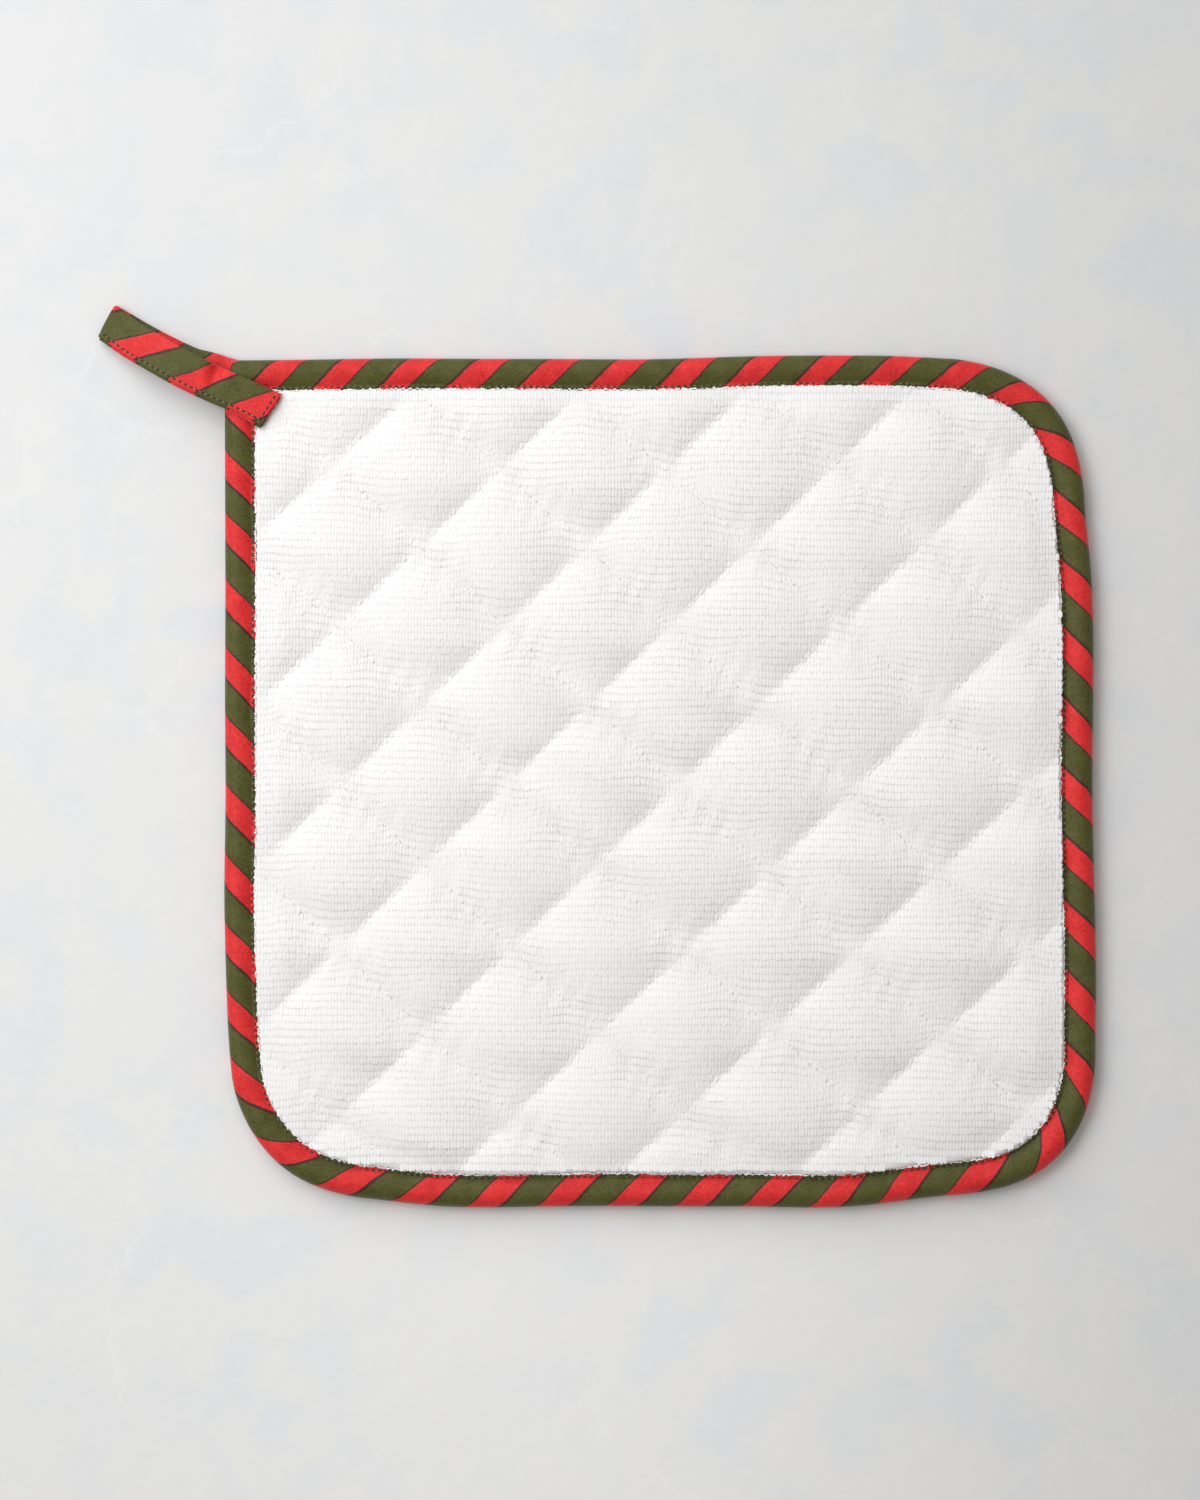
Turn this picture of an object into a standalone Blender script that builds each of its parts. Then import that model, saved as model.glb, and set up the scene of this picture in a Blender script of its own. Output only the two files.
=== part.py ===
"""Quilted pot holder: a terry-faced pad, the striped tape round its edge and its hanging loop.

The holder lies face up on z = 0. The origin is under the middle of the whole thing, loop included.
Blender units are metres, +Z up. Every size below is in millimetres and is scaled once, in new_object.
"""

import math
from collections import namedtuple

import bmesh
import bpy
from mathutils import Vector, geometry

MM = 0.001

# ---------------------------------------------------------------------------------------------
# The bound square, seen from above. Places are measured from the middle of the pad.
# ---------------------------------------------------------------------------------------------
PAD_MIDDLE = Vector((16.45, -6.46))        # where the middle of the pad lies from the origin

# Anticlockwise from the loop's corner: where two sides would meet, and how far they are rounded.
Corner = namedtuple("Corner", "x y radius")
CORNERS = (
    Corner(-114.1, 110.5, 4.0),
    Corner(-113.4, -111.9, 35.9),
    Corner(114.0, -110.0, 38.9),
    Corner(113.5, 111.7, 37.8),
)
ARC_STEPS = (4, 11, 10, 10)                # facets round each corner
SIDE_STEPS = (24, 20, 20, 25)              # facets along the side that follows each corner
INNER_RADIUS = 1.5                         # least rounding left on a ring inside the edge

# The tape covers a little more of the face on the lower and the right-hand side.
SIDE_COVER = (1.009, 1.079, 1.058, 1.015)  # left, bottom, right, top

# The edge is not quite true: places where it swells out (or in), and how far along it.
Swell = namedtuple("Swell", "x y out spread")
SWELLS = (
    Swell(-70.0, 111.0, 0.28, 14.0),
    Swell(-5.0, 111.0, -0.30, 14.0),
    Swell(30.0, 111.0, 0.44, 14.0),
    Swell(62.0, 111.0, 0.47, 14.0),
    Swell(84.0, 108.0, -1.02, 14.0),
    Swell(112.0, 78.0, -2.41, 14.0),
    Swell(114.5, 0.0, -0.36, 14.0),
    Swell(115.0, -50.0, 0.46, 14.0),
    Swell(104.0, -99.0, 1.11, 14.0),
    Swell(80.0, -110.0, -2.18, 14.0),
    Swell(45.0, -111.5, 1.03, 14.0),
    Swell(10.0, -111.5, 0.39, 14.0),
    Swell(-50.0, -111.5, 0.25, 14.0),
    Swell(-84.0, -106.0, -2.94, 14.0),
    Swell(-104.0, -90.0, -2.38, 14.0),
    Swell(-114.0, -30.0, 0.53, 14.0),
    Swell(-114.0, 20.0, 0.19, 14.0),
)

# ---------------------------------------------------------------------------------------------
# The tape, folded over the edge: a section through it, from the free edge on the face, round the
# fold and along to the free edge on the back, then back along the inside of the fold.
# ---------------------------------------------------------------------------------------------
Fold = namedtuple("Fold", "inset z")
TAPE_OUTSIDE = (
    Fold(8.0, 5.7),
    Fold(6.9, 5.6),
    Fold(5.3, 6.3),
    Fold(3.2, 6.6),
    Fold(1.2, 5.7),
    Fold(0.0, 3.3),
    Fold(1.0, 0.9),
    Fold(2.8, 0.0),
    Fold(8.0, 0.0),
)
TAPE_INSIDE = (
    Fold(8.0, 1.2),
    Fold(2.0, 1.2),
    Fold(1.1, 2.2),
    Fold(1.1, 4.0),
    Fold(2.0, 4.9),
    Fold(8.0, 4.8),
)

# ---------------------------------------------------------------------------------------------
# The pad: a flat lip inside the tape, and quilted crowns on the open face.
# ---------------------------------------------------------------------------------------------
LIP = (                                    # the pad's edge from the back to the face
    Fold(8.35, 1.6),
    Fold(2.6, 1.6),
    Fold(1.7, 2.4),
    Fold(1.7, 3.8),
    Fold(2.6, 4.5),
    Fold(8.35, 4.5),
)
FIELD_INSET = 8.65                         # where the open face begins, beside the tape
SHOULDER_INSET = 12.5                      # a ring that carries the rise from the tape
RISE_INSET = 22.0                          # the crowns have their full height from here on

SEAM_TOP = 5.2                             # the face along a seam
EDGE_TOP = 6.1                             # the face beside the tape
CROWN = 4.3                                # how far a crown stands over its seams
EDGE_SHARE = 0.3                           # part of that height that is left beside the tape
SEAM_BOTTOM = 1.4                          # the back along a seam; the crowns lie flat at 0

# Quilting lines across the pad: the height at which each crosses the pad's middle, and its slope.
Seam = namedtuple("Seam", "crossing slope")
RISING_SEAMS = (                           # from lower left to upper right, highest first
    Seam(245.0, 0.92),
    Seam(203.0, 0.92),
    Seam(161.4, 0.918),
    Seam(121.9, 0.962),
    Seam(80.4, 0.973),
    Seam(38.4, 0.972),
    Seam(-5.1, 0.980),
    Seam(-50.3, 0.960),
    Seam(-92.1, 0.944),
    Seam(-135.1, 0.940),
    Seam(-178.0, 0.960),
    Seam(-222.0, 0.960),
)
FALLING_SEAMS = (                          # from upper left to lower right, highest first
    Seam(244.0, -0.90),
    Seam(203.0, -0.90),
    Seam(162.3, -0.900),
    Seam(125.2, -0.913),
    Seam(82.7, -0.881),
    Seam(43.5, -0.918),
    Seam(3.0, -0.933),
    Seam(-37.6, -0.926),
    Seam(-80.6, -0.958),
    Seam(-123.5, -0.954),
    Seam(-167.6, -0.950),
    Seam(-211.0, -0.950),
    Seam(-255.0, -0.950),
)
FACE_SAMPLES = (0.0, 0.1, 0.28, 0.5, 0.72, 0.9)     # points across a crown, as shares of its width
BACK_SAMPLES = (0.0, 0.16, 0.84)
BACK_CHANNEL = 0.16                        # half width of a channel on the back, as such a share
CROWN_POWER = 0.42                         # how full the crowns are: 1 is a parabola, less is fuller
POINT_GAP = 1.6                            # points of the lattice keep this far from the field's edge

# ---------------------------------------------------------------------------------------------
# The loop: the tape's tail, pressed flat, out from the corner, folded at the tip and back.
# Each row is a section: the middle of the strip, the way out towards the tip seen from above
# (degrees from +X), its width and its thickness.
# ---------------------------------------------------------------------------------------------
Section = namedtuple("Section", "x y z heading width thick")
LOWER_ARM = (
    Section(-114.45, 107.0, 3.2, 172.0, 7.6, 2.4),
    Section(-116.8, 107.6, 2.5, 168.0, 8.2, 1.8),
    Section(-120.0, 108.4, 1.1, 164.0, 8.7, 1.3),
    Section(-124.0, 109.8, 0.6, 159.0, 8.9, 1.2),
    Section(-134.0, 114.8, 0.6, 154.0, 8.9, 1.2),
    Section(-144.2, 120.0, 0.6, 152.5, 8.9, 1.2),
)
UPPER_ARM = (
    Section(-143.9, 119.7, 2.4, 152.0, 8.9, 1.2),
    Section(-138.0, 115.9, 4.4, 149.5, 8.9, 1.2),
    Section(-131.8, 112.2, 6.7, 150.0, 8.9, 1.2),
    Section(-125.0, 108.3, 8.1, 152.0, 8.9, 1.2),
    Section(-117.2, 104.5, 8.4, 154.5, 8.9, 1.2),
    Section(-108.6, 100.7, 7.8, 154.0, 8.9, 1.2),
    Section(-101.5, 97.1, 7.4, 147.0, 8.9, 1.2),
)
TIP_STEPS = 5                              # facets round the fold at the tip
ARM_STEPS = 2                              # sections added between two rows of an arm
STRIP_ROUND = 0.35                         # how much the strip's long edges are rounded off
TACK_POINT = Vector((-102.5, 97.5))        # where the loop's end is sewn through the pad
TACK_REACH = 16.0                          # the pad is pressed down this far round it


def smooth_step(low, high, value):
    """Rise from 0 at low to 1 at high with level ends."""
    share = min(max((value - low) / (high - low), 0.0), 1.0)
    return share * share * (3.0 - 2.0 * share)


# ---------------------------------------------------------------------------------------------
# Rings that follow the edge
# ---------------------------------------------------------------------------------------------
def inward_normals():
    """Unit vectors square to the four sides, pointing into the pad."""
    normals = []
    for index, corner in enumerate(CORNERS):
        following = CORNERS[(index + 1) % len(CORNERS)]
        along = Vector((following.x - corner.x, following.y - corner.y)).normalized()
        normals.append(Vector((-along.y, along.x)))
    return normals


def plain_ring(inset):
    """Points round the edge, inset from it, before its swells; the count never changes."""
    normals = inward_normals()
    corners = []
    for index, corner in enumerate(CORNERS):
        shift = normals[index - 1] * SIDE_COVER[index - 1] + normals[index] * SIDE_COVER[index]
        corners.append(Vector((corner.x, corner.y)) + shift * inset)

    arcs = []
    for index, point in enumerate(corners):
        radius = max(CORNERS[index].radius - inset, INNER_RADIUS)
        before = (corners[index - 1] - point).normalized()
        after = (corners[(index + 1) % len(corners)] - point).normalized()
        bend = before.angle(after)
        centre = point + (before + after).normalized() * (radius / math.sin(bend / 2.0))
        start = point + before * (radius / math.tan(bend / 2.0)) - centre
        turn = math.pi - bend
        arc = []
        for step in range(ARC_STEPS[index] + 1):
            angle = turn * step / ARC_STEPS[index]
            cosine, sine = math.cos(angle), math.sin(angle)
            arc.append(centre + Vector((start.x * cosine - start.y * sine, start.x * sine + start.y * cosine)))
        arcs.append(arc)

    ring = []
    for index, arc in enumerate(arcs):
        ring.extend(arc)
        side_end = arcs[(index + 1) % len(arcs)][0]
        for step in range(1, SIDE_STEPS[index]):
            ring.append(arc[-1].lerp(side_end, step / SIDE_STEPS[index]))
    return ring


def swell_offsets():
    """How far each point of the edge is pushed out, as a vector."""
    edge = plain_ring(0.0)
    offsets = []
    for index, point in enumerate(edge):
        along = edge[(index + 1) % len(edge)] - edge[index - 1]
        outward = Vector((along.y, -along.x)).normalized()
        amount = 0.0
        for swell in SWELLS:
            distance = (point - Vector((swell.x, swell.y))).length
            amount += swell.out * math.exp(-0.5 * (distance / swell.spread) ** 2)
        offsets.append(outward * amount)
    return offsets


def edge_ring(inset):
    """The ring that runs inset from the finished edge."""
    return [point + offset for point, offset in zip(plain_ring(inset), swell_offsets())]


def distance_to_ring(point, ring):
    """Shortest distance from a point to a closed ring."""
    best = math.inf
    for index, end in enumerate(ring):
        start = ring[index - 1]
        along = end - start
        share = min(max((point - start).dot(along) / along.length_squared, 0.0), 1.0)
        best = min(best, (start + along * share - point).length)
    return best


def is_inside(point, ring):
    """Whether a point lies inside a closed ring."""
    inside = False
    for index, end in enumerate(ring):
        start = ring[index - 1]
        if (start.y > point.y) != (end.y > point.y):
            crossing = start.x + (end.x - start.x) * (point.y - start.y) / (end.y - start.y)
            if point.x < crossing:
                inside = not inside
    return inside


# ---------------------------------------------------------------------------------------------
# The quilting lattice
# ---------------------------------------------------------------------------------------------
def seam_between(seams, index, share):
    """A line lying a share of the way from one seam to the next."""
    first, second = seams[index], seams[index + 1]
    crossing = first.crossing + (second.crossing - first.crossing) * share
    slope = first.slope + (second.slope - first.slope) * share
    return Seam(crossing, slope)


def lattice_point(rising, falling):
    """Where a rising and a falling line cross."""
    x = (falling.crossing - rising.crossing) / (rising.slope - falling.slope)
    return Vector((x, rising.crossing + rising.slope * x))


def share_across(seams, point):
    """How far a point lies from the seam above it to the one below, from 0 to 1."""
    for upper, lower in zip(seams, seams[1:]):
        above = (upper.crossing + upper.slope * point.x) - point.y
        below = point.y - (lower.crossing + lower.slope * point.x)
        if above >= 0.0 and below >= 0.0:
            return above / (above + below)
    return 0.0


def crown_share(point):
    """Height of the crown over a point: 0 along the seams, 1 in the middle of a diamond."""
    product = 1.0
    for seams in (RISING_SEAMS, FALLING_SEAMS):
        share = share_across(seams, point)
        product *= 4.0 * share * (1.0 - share)
    return product ** CROWN_POWER


def channel_share(point):
    """1 along a seam, falling to 0 where the flat back of a diamond begins."""
    nearest = 1.0
    for seams in (RISING_SEAMS, FALLING_SEAMS):
        share = share_across(seams, point)
        nearest = min(nearest, share, 1.0 - share)
    return max(1.0 - nearest / BACK_CHANNEL, 0.0)


def face_height(point, edge):
    """Height of the terry face over a point."""
    inset = distance_to_ring(point, edge)
    rise = smooth_step(FIELD_INSET, RISE_INSET, inset)
    base = EDGE_TOP + (SEAM_TOP - EDGE_TOP) * rise
    crown = CROWN * crown_share(point) * (EDGE_SHARE + (1.0 - EDGE_SHARE) * rise)
    pressed = smooth_step(0.0, TACK_REACH, (point - TACK_POINT).length)
    return base + crown * pressed


def back_height(point, edge):
    """Height of the back over a point: flat at 0 except along the seams."""
    if distance_to_ring(point, edge) < FIELD_INSET + POINT_GAP / 2.0:
        return SEAM_BOTTOM
    return SEAM_BOTTOM * channel_share(point)


def lattice_points(samples, ring):
    """Points of the quilting lattice that lie well inside a ring."""
    points = []
    for i in range(len(RISING_SEAMS) - 1):
        for j in range(len(FALLING_SEAMS) - 1):
            for rising_share in samples:
                rising = seam_between(RISING_SEAMS, i, rising_share)
                for falling_share in samples:
                    falling = seam_between(FALLING_SEAMS, j, falling_share)
                    point = lattice_point(rising, falling)
                    if is_inside(point, ring) and distance_to_ring(point, ring) > POINT_GAP:
                        points.append(point)
    return points


# ---------------------------------------------------------------------------------------------
# Meshes
# ---------------------------------------------------------------------------------------------
def new_material(name, colour, roughness):
    """A plain material with a colour and a roughness."""
    material = bpy.data.materials.new(name)
    material.use_nodes = True
    shader = material.node_tree.nodes["Principled BSDF"]
    shader.inputs["Base Color"].default_value = (*colour, 1.0)
    shader.inputs["Roughness"].default_value = roughness
    shader.inputs["Metallic"].default_value = 0.0
    return material


def new_object(name, bm, material):
    """Scale a mesh to metres, set it over its place and make it an object."""
    bmesh.ops.scale(bm, vec=(MM, MM, MM), verts=bm.verts)
    bmesh.ops.recalc_face_normals(bm, faces=bm.faces)
    mesh = bpy.data.meshes.new(name)
    bm.to_mesh(mesh)
    bm.free()
    mesh.materials.append(material)
    mesh.shade_smooth()
    item = bpy.data.objects.new(name, mesh)
    bpy.context.scene.collection.objects.link(item)
    return item


def add_ring(bm, points, height):
    """Add a closed ring of vertices; height is a number or a function of the point."""
    ring = []
    for point in points:
        z = height(point) if callable(height) else height
        ring.append(bm.verts.new((point.x + PAD_MIDDLE.x, point.y + PAD_MIDDLE.y, z)))
    return ring


def join_rings(bm, first, second):
    """Fill the band between two rings that have the same count of points."""
    for index in range(len(first)):
        bm.faces.new((first[index - 1], first[index], second[index], second[index - 1]))


def fill_field(bm, ring, ring_points, samples, height):
    """Close the space inside a ring with triangles that follow the quilting lattice."""
    points = ring_points + lattice_points(samples, ring_points)
    border = [(index, (index + 1) % len(ring_points)) for index in range(len(ring_points))]
    places, _, faces, origins, _, _ = geometry.delaunay_2d_cdt(points, border, [], 1, 1e-5)
    verts = []
    for place, origin in zip(places, origins):
        on_ring = [index for index in origin if index < len(ring)]
        if on_ring:
            verts.append(ring[on_ring[0]])
        else:
            verts.append(bm.verts.new((place.x + PAD_MIDDLE.x, place.y + PAD_MIDDLE.y, height(place))))
    for face in faces:
        bm.faces.new([verts[index] for index in face])


def build_pad():
    """The padded square as one closed body."""
    edge = edge_ring(0.0)

    def face(point):
        return face_height(point, edge)

    def back(point):
        return back_height(point, edge)

    bm = bmesh.new()
    field_points = edge_ring(FIELD_INSET)
    shoulder_points = edge_ring(SHOULDER_INSET)
    back_ring = add_ring(bm, shoulder_points, back)
    rings = [back_ring]
    rings.append(add_ring(bm, field_points, SEAM_BOTTOM))
    for fold in LIP:
        rings.append(add_ring(bm, edge_ring(fold.inset), fold.z))
    rings.append(add_ring(bm, field_points, face))
    face_ring = add_ring(bm, shoulder_points, face)
    rings.append(face_ring)
    for first, second in zip(rings, rings[1:]):
        join_rings(bm, first, second)
    fill_field(bm, back_ring, shoulder_points, BACK_SAMPLES, back)
    fill_field(bm, face_ring, shoulder_points, FACE_SAMPLES, face)
    return new_object("quilted_pad", bm, new_material("white_terry", (0.86, 0.86, 0.85), 0.95))


def build_binding():
    """The tape folded over the edge, a closed band with the same section all round."""
    bm = bmesh.new()
    rings = []
    for fold in TAPE_OUTSIDE + TAPE_INSIDE:
        rings.append(add_ring(bm, edge_ring(fold.inset), fold.z))
    for index, ring in enumerate(rings):
        join_rings(bm, rings[index - 1], ring)
    return new_object("edge_binding", bm, new_material("striped_tape", (0.42, 0.12, 0.08), 0.85))


def blend_sections(rows):
    """Sections on a smooth curve through the rows, with some added between each two."""
    result = []
    last = len(rows) - 1
    for index in range(last):
        before = Vector(rows[max(index - 1, 0)])
        start = Vector(rows[index])
        end = Vector(rows[index + 1])
        after = Vector(rows[min(index + 2, last)])
        for step in range(ARM_STEPS + 1):
            t = step / (ARM_STEPS + 1)
            curve = start * 2.0 + (end - before) * t
            curve += (before * 2.0 - start * 5.0 + end * 4.0 - after) * t ** 2
            curve += (start * 3.0 - before - end * 3.0 + after) * t ** 3
            row = Section(*(curve * 0.5))
            result.append(row._replace(z=max(row.z, row.thick / 2.0)))
    result.append(rows[last])
    return result


def tip_sections():
    """The fold at the tip: half a turn from the lower arm up to the upper one."""
    low, high = Vector(LOWER_ARM[-1]), Vector(UPPER_ARM[0])
    heading = math.radians(LOWER_ARM[-1].heading)
    reach = (UPPER_ARM[0].z - LOWER_ARM[-1].z) / 2.0
    sections = []
    for step in range(1, TIP_STEPS):
        share = step / TIP_STEPS
        angle = math.pi * share
        row = Section(*low.lerp(high, share))
        x = row.x + math.cos(heading) * reach * math.sin(angle)
        y = row.y + math.sin(heading) * reach * math.sin(angle)
        z = LOWER_ARM[-1].z + reach * (1.0 - math.cos(angle))
        sections.append(row._replace(x=x, y=y, z=z))
    return sections


def strip_outline(width, thick):
    """A flat strip's section with eased long edges: across the strip, and through it."""
    half, deep = width / 2.0, thick / 2.0
    ease = thick * STRIP_ROUND
    return (
        (-half, -deep + ease), (-half + ease, -deep), (half - ease, -deep), (half, -deep + ease),
        (half, deep - ease), (half - ease, deep), (-half + ease, deep), (-half, deep - ease),
    )


def build_loop():
    """The flat strip of the loop, from its root at the corner round to its sewn end."""
    sections = blend_sections(LOWER_ARM) + tip_sections() + blend_sections(UPPER_ARM)
    middles = [Vector((section.x, section.y, section.z)) for section in sections]
    bm = bmesh.new()
    rings = []
    for index, section in enumerate(sections):
        before = middles[max(index - 1, 0)]
        after = middles[min(index + 1, len(middles) - 1)]
        heading = math.radians(section.heading)
        across = Vector((-math.sin(heading), math.cos(heading), 0.0))
        through = (after - before).cross(across).normalized()
        ring = []
        for side, depth in strip_outline(section.width, section.thick):
            place = middles[index] + across * side + through * depth
            ring.append(bm.verts.new((place.x + PAD_MIDDLE.x, place.y + PAD_MIDDLE.y, place.z)))
        rings.append(ring)
    for first, second in zip(rings, rings[1:]):
        join_rings(bm, first, second)
    bm.faces.new(rings[0])
    bm.faces.new(list(reversed(rings[-1])))
    return new_object("hanging_loop", bm, new_material("striped_tape_tail", (0.42, 0.12, 0.08), 0.85))


def main():
    """Clear the scene and build the three pieces."""
    for item in list(bpy.data.objects):
        bpy.data.objects.remove(item, do_unlink=True)
    build_pad()
    build_binding()
    build_loop()


main()
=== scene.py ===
"""Quilted pot holder: the looks of its terry pad, its striped tape and its hanging loop.

The holder lies face up on z = 0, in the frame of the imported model. Every size is in millimetres and
is scaled once, when a piece is made. Places on the pad are measured from the middle of the pad.
"""

import logging
import math
from dataclasses import dataclass, field
from enum import Enum
from typing import Iterable, NamedTuple, Sequence

import bmesh
import bpy
import numpy as np
from mathutils import Matrix, Vector
from mathutils.bvhtree import BVHTree


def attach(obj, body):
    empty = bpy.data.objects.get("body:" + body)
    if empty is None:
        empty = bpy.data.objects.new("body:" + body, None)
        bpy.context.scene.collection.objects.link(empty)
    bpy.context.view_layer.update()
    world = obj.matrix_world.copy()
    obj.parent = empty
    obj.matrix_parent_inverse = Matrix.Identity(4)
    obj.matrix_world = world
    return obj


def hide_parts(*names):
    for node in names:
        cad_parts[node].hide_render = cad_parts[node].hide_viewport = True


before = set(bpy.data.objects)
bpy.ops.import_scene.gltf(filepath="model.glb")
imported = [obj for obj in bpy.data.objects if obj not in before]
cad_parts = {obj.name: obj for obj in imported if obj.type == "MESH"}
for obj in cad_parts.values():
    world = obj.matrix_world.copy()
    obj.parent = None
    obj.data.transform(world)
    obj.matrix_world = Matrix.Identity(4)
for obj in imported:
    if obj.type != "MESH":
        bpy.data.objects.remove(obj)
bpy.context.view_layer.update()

MM = 0.001
PAD_MIDDLE = np.array((16.45, -6.46))      # where the middle of the pad lies from the origin
ABOVE = 40.0                               # a height from which everything lies below
ROW_PITCH = 1.83                           # from one row of loops to the next
COMB_PITCH = 0.84                          # from one loop to the next in a row
STRIPE_PERIOD = 17.9                       # a red and an olive stripe with their outlines
PHASES = (0.0, 6.28)                       # where a random wave may start, in radians
UP = np.array((0.0, 0.0, 1.0))
LOG = logging.getLogger("pot_holder")

Points = np.ndarray
Colour = tuple[float, float, float]


class Body(Enum):
    """The bodies that a piece may ride on."""

    ROOT = "root"


class Slot(Enum):
    """The finishes, by name."""

    TERRY = "white_terry"
    TAPE = "striped_tape"
    THREAD = "thread"


class Held(Enum):
    """How a sheet of cloth is kept in place."""

    FOLDED = "folded"


# ---------------------------------------------------------------------------------------------
# Small helpers
# ---------------------------------------------------------------------------------------------
def smooth_step(low: float, high: float, values: Points) -> Points:
    """Rise from 0 at low to 1 at high with level ends."""
    share = np.clip((np.asarray(values) - low) / (high - low), 0.0, 1.0)
    return share * share * (3.0 - 2.0 * share)


def hump(distance: Points, reach: float) -> Points:
    """1 at distance 0, falling away like a bell over reach."""
    return np.exp(-((np.asarray(distance) / reach) ** 2))


def curve_through(rows: Sequence[Sequence[float]], steps: int) -> Points:
    """Rows on a smooth curve through the given ones.

    Args:
        rows: The rows that the curve passes through.
        steps: How many parts each span is cut into.

    Returns:
        One row for each place along the curve, both ends included.
    """
    table = np.asarray(rows, float)
    last = len(table) - 1
    result = []
    for index in range(last):
        before, start = table[max(index - 1, 0)], table[index]
        end, after = table[index + 1], table[min(index + 2, last)]
        for step in range(steps):
            t = step / steps
            blend = start * 2.0 + (end - before) * t
            blend = blend + (before * 2.0 - start * 5.0 + end * 4.0 - after) * t**2
            blend = blend + (start * 3.0 - before - end * 3.0 + after) * t**3
            result.append(blend * 0.5)
    result.append(table[last])
    return np.array(result)


def running_length(points: Points) -> Points:
    """Distance walked along a row of points, starting at 0."""
    steps = np.linalg.norm(np.diff(points, axis=0), axis=1)
    return np.concatenate(((0.0,), np.cumsum(steps)))


def unit(vectors: Points) -> Points:
    """Each vector with its length made 1."""
    return vectors / np.maximum(np.linalg.norm(vectors, axis=-1, keepdims=True), 1e-9)


def left_of(plan: Points) -> Points:
    """Pairs of values turned a quarter of a turn to the left."""
    return np.stack((-plan[:, 1], plan[:, 0]), axis=1)


def way_on(ring: Points) -> Points:
    """The way on at each place of a closed ring."""
    return unit(np.roll(ring, -1, axis=0) - np.roll(ring, 1, axis=0))


def closed(table: Points) -> Points:
    """A ring's rows with the first one repeated at the end."""
    return np.concatenate((table, table[:1]))


def at_lengths(spots: Points, travel: Points, table: Points) -> Points:
    """The rows of a table at the given distances along it."""
    return np.stack([np.interp(spots, travel, column) for column in table.T], axis=1)


def with_height(plan: Points, height: float | Points) -> Points:
    """Pairs of values, each with a height as its third one."""
    return np.concatenate((plan, np.broadcast_to(height, (len(plan), 1))), axis=1)


def lump_axes(half: Sequence[float] | Points, side: Points, ahead: Points, up: Points) -> Points:
    """For each lump its half width, half length and half height as three vectors."""
    axes = np.stack(np.broadcast_arrays(side, ahead, up), axis=1)
    return axes * np.broadcast_to(half, (len(axes), 3))[:, :, None]


def map_table(along: Points, across: Points) -> Points:
    """A UV map over a grid: a value for each column or cell, and one for each row."""
    return np.stack(np.broadcast_arrays(along, across[:, None]), axis=2)


# ---------------------------------------------------------------------------------------------
# Making pieces
# ---------------------------------------------------------------------------------------------
def grid_mesh(places: Points, maps: dict[str, Points]) -> bmesh.types.BMesh:
    """A grid laid over a table of places.

    Args:
        places: Rows by columns by three, in millimetres.
        maps: UV maps by name, rows by columns by two.

    Returns:
        The mesh, with one vertex for each place and the maps on its corners.
    """
    rows, columns = places.shape[:2]
    bm = bmesh.new()
    bmesh.ops.create_grid(bm, x_segments=columns - 1, y_segments=rows - 1, size=1.0)
    layers = {name: bm.loops.layers.uv.new(name) for name in maps}
    bm.verts.index_update()
    cells = []
    for vert in bm.verts:
        row = round((vert.co.y + 1.0) / 2.0 * (rows - 1))
        column = round((vert.co.x + 1.0) / 2.0 * (columns - 1))
        cells.append((row, column))
        vert.co = places[row, column]
    for face in bm.faces:
        for loop in face.loops:
            for name, layer in layers.items():
                loop[layer].uv = maps[name][cells[loop.vert.index]]
    return bm


def face_out(bm: bmesh.types.BMesh, outside: Vector) -> None:
    """Turn an open sheet's faces so that the one nearest to a point outside looks at it."""
    nearest = min(bm.faces, key=lambda face: (face.calc_center_median() - outside).length_squared)
    nearest.normal_update()
    if nearest.normal.dot(outside - nearest.calc_center_median()) < 0.0:
        bmesh.ops.reverse_faces(bm, faces=bm.faces)


def make_piece(name: str, bm: bmesh.types.BMesh, material: bpy.types.Material) -> bpy.types.Object:
    """Scale a mesh to metres and make it a smooth object at the origin."""
    bmesh.ops.scale(bm, vec=(MM, MM, MM), verts=bm.verts)
    mesh = bpy.data.meshes.new(name)
    bm.to_mesh(mesh)
    bm.free()
    mesh.shade_smooth()
    return link_piece(name, mesh, material)


def link_piece(name: str, mesh: bpy.types.Mesh, material: bpy.types.Material) -> bpy.types.Object:
    """Put a mesh into the scene as an object."""
    mesh.materials.append(material)
    piece = bpy.data.objects.new(name, mesh)
    bpy.context.scene.collection.objects.link(piece)
    return piece


def settle(piece: bpy.types.Object, replaces: Iterable[str] = ()) -> bpy.types.Object:
    """Let a piece ride on the holder and the solids that it stands for."""
    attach(piece, Body.ROOT.value)
    for node in replaces:
        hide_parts(node)
    LOG.info("%s: %d faces", piece.name, len(piece.data.polygons))
    return piece


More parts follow.
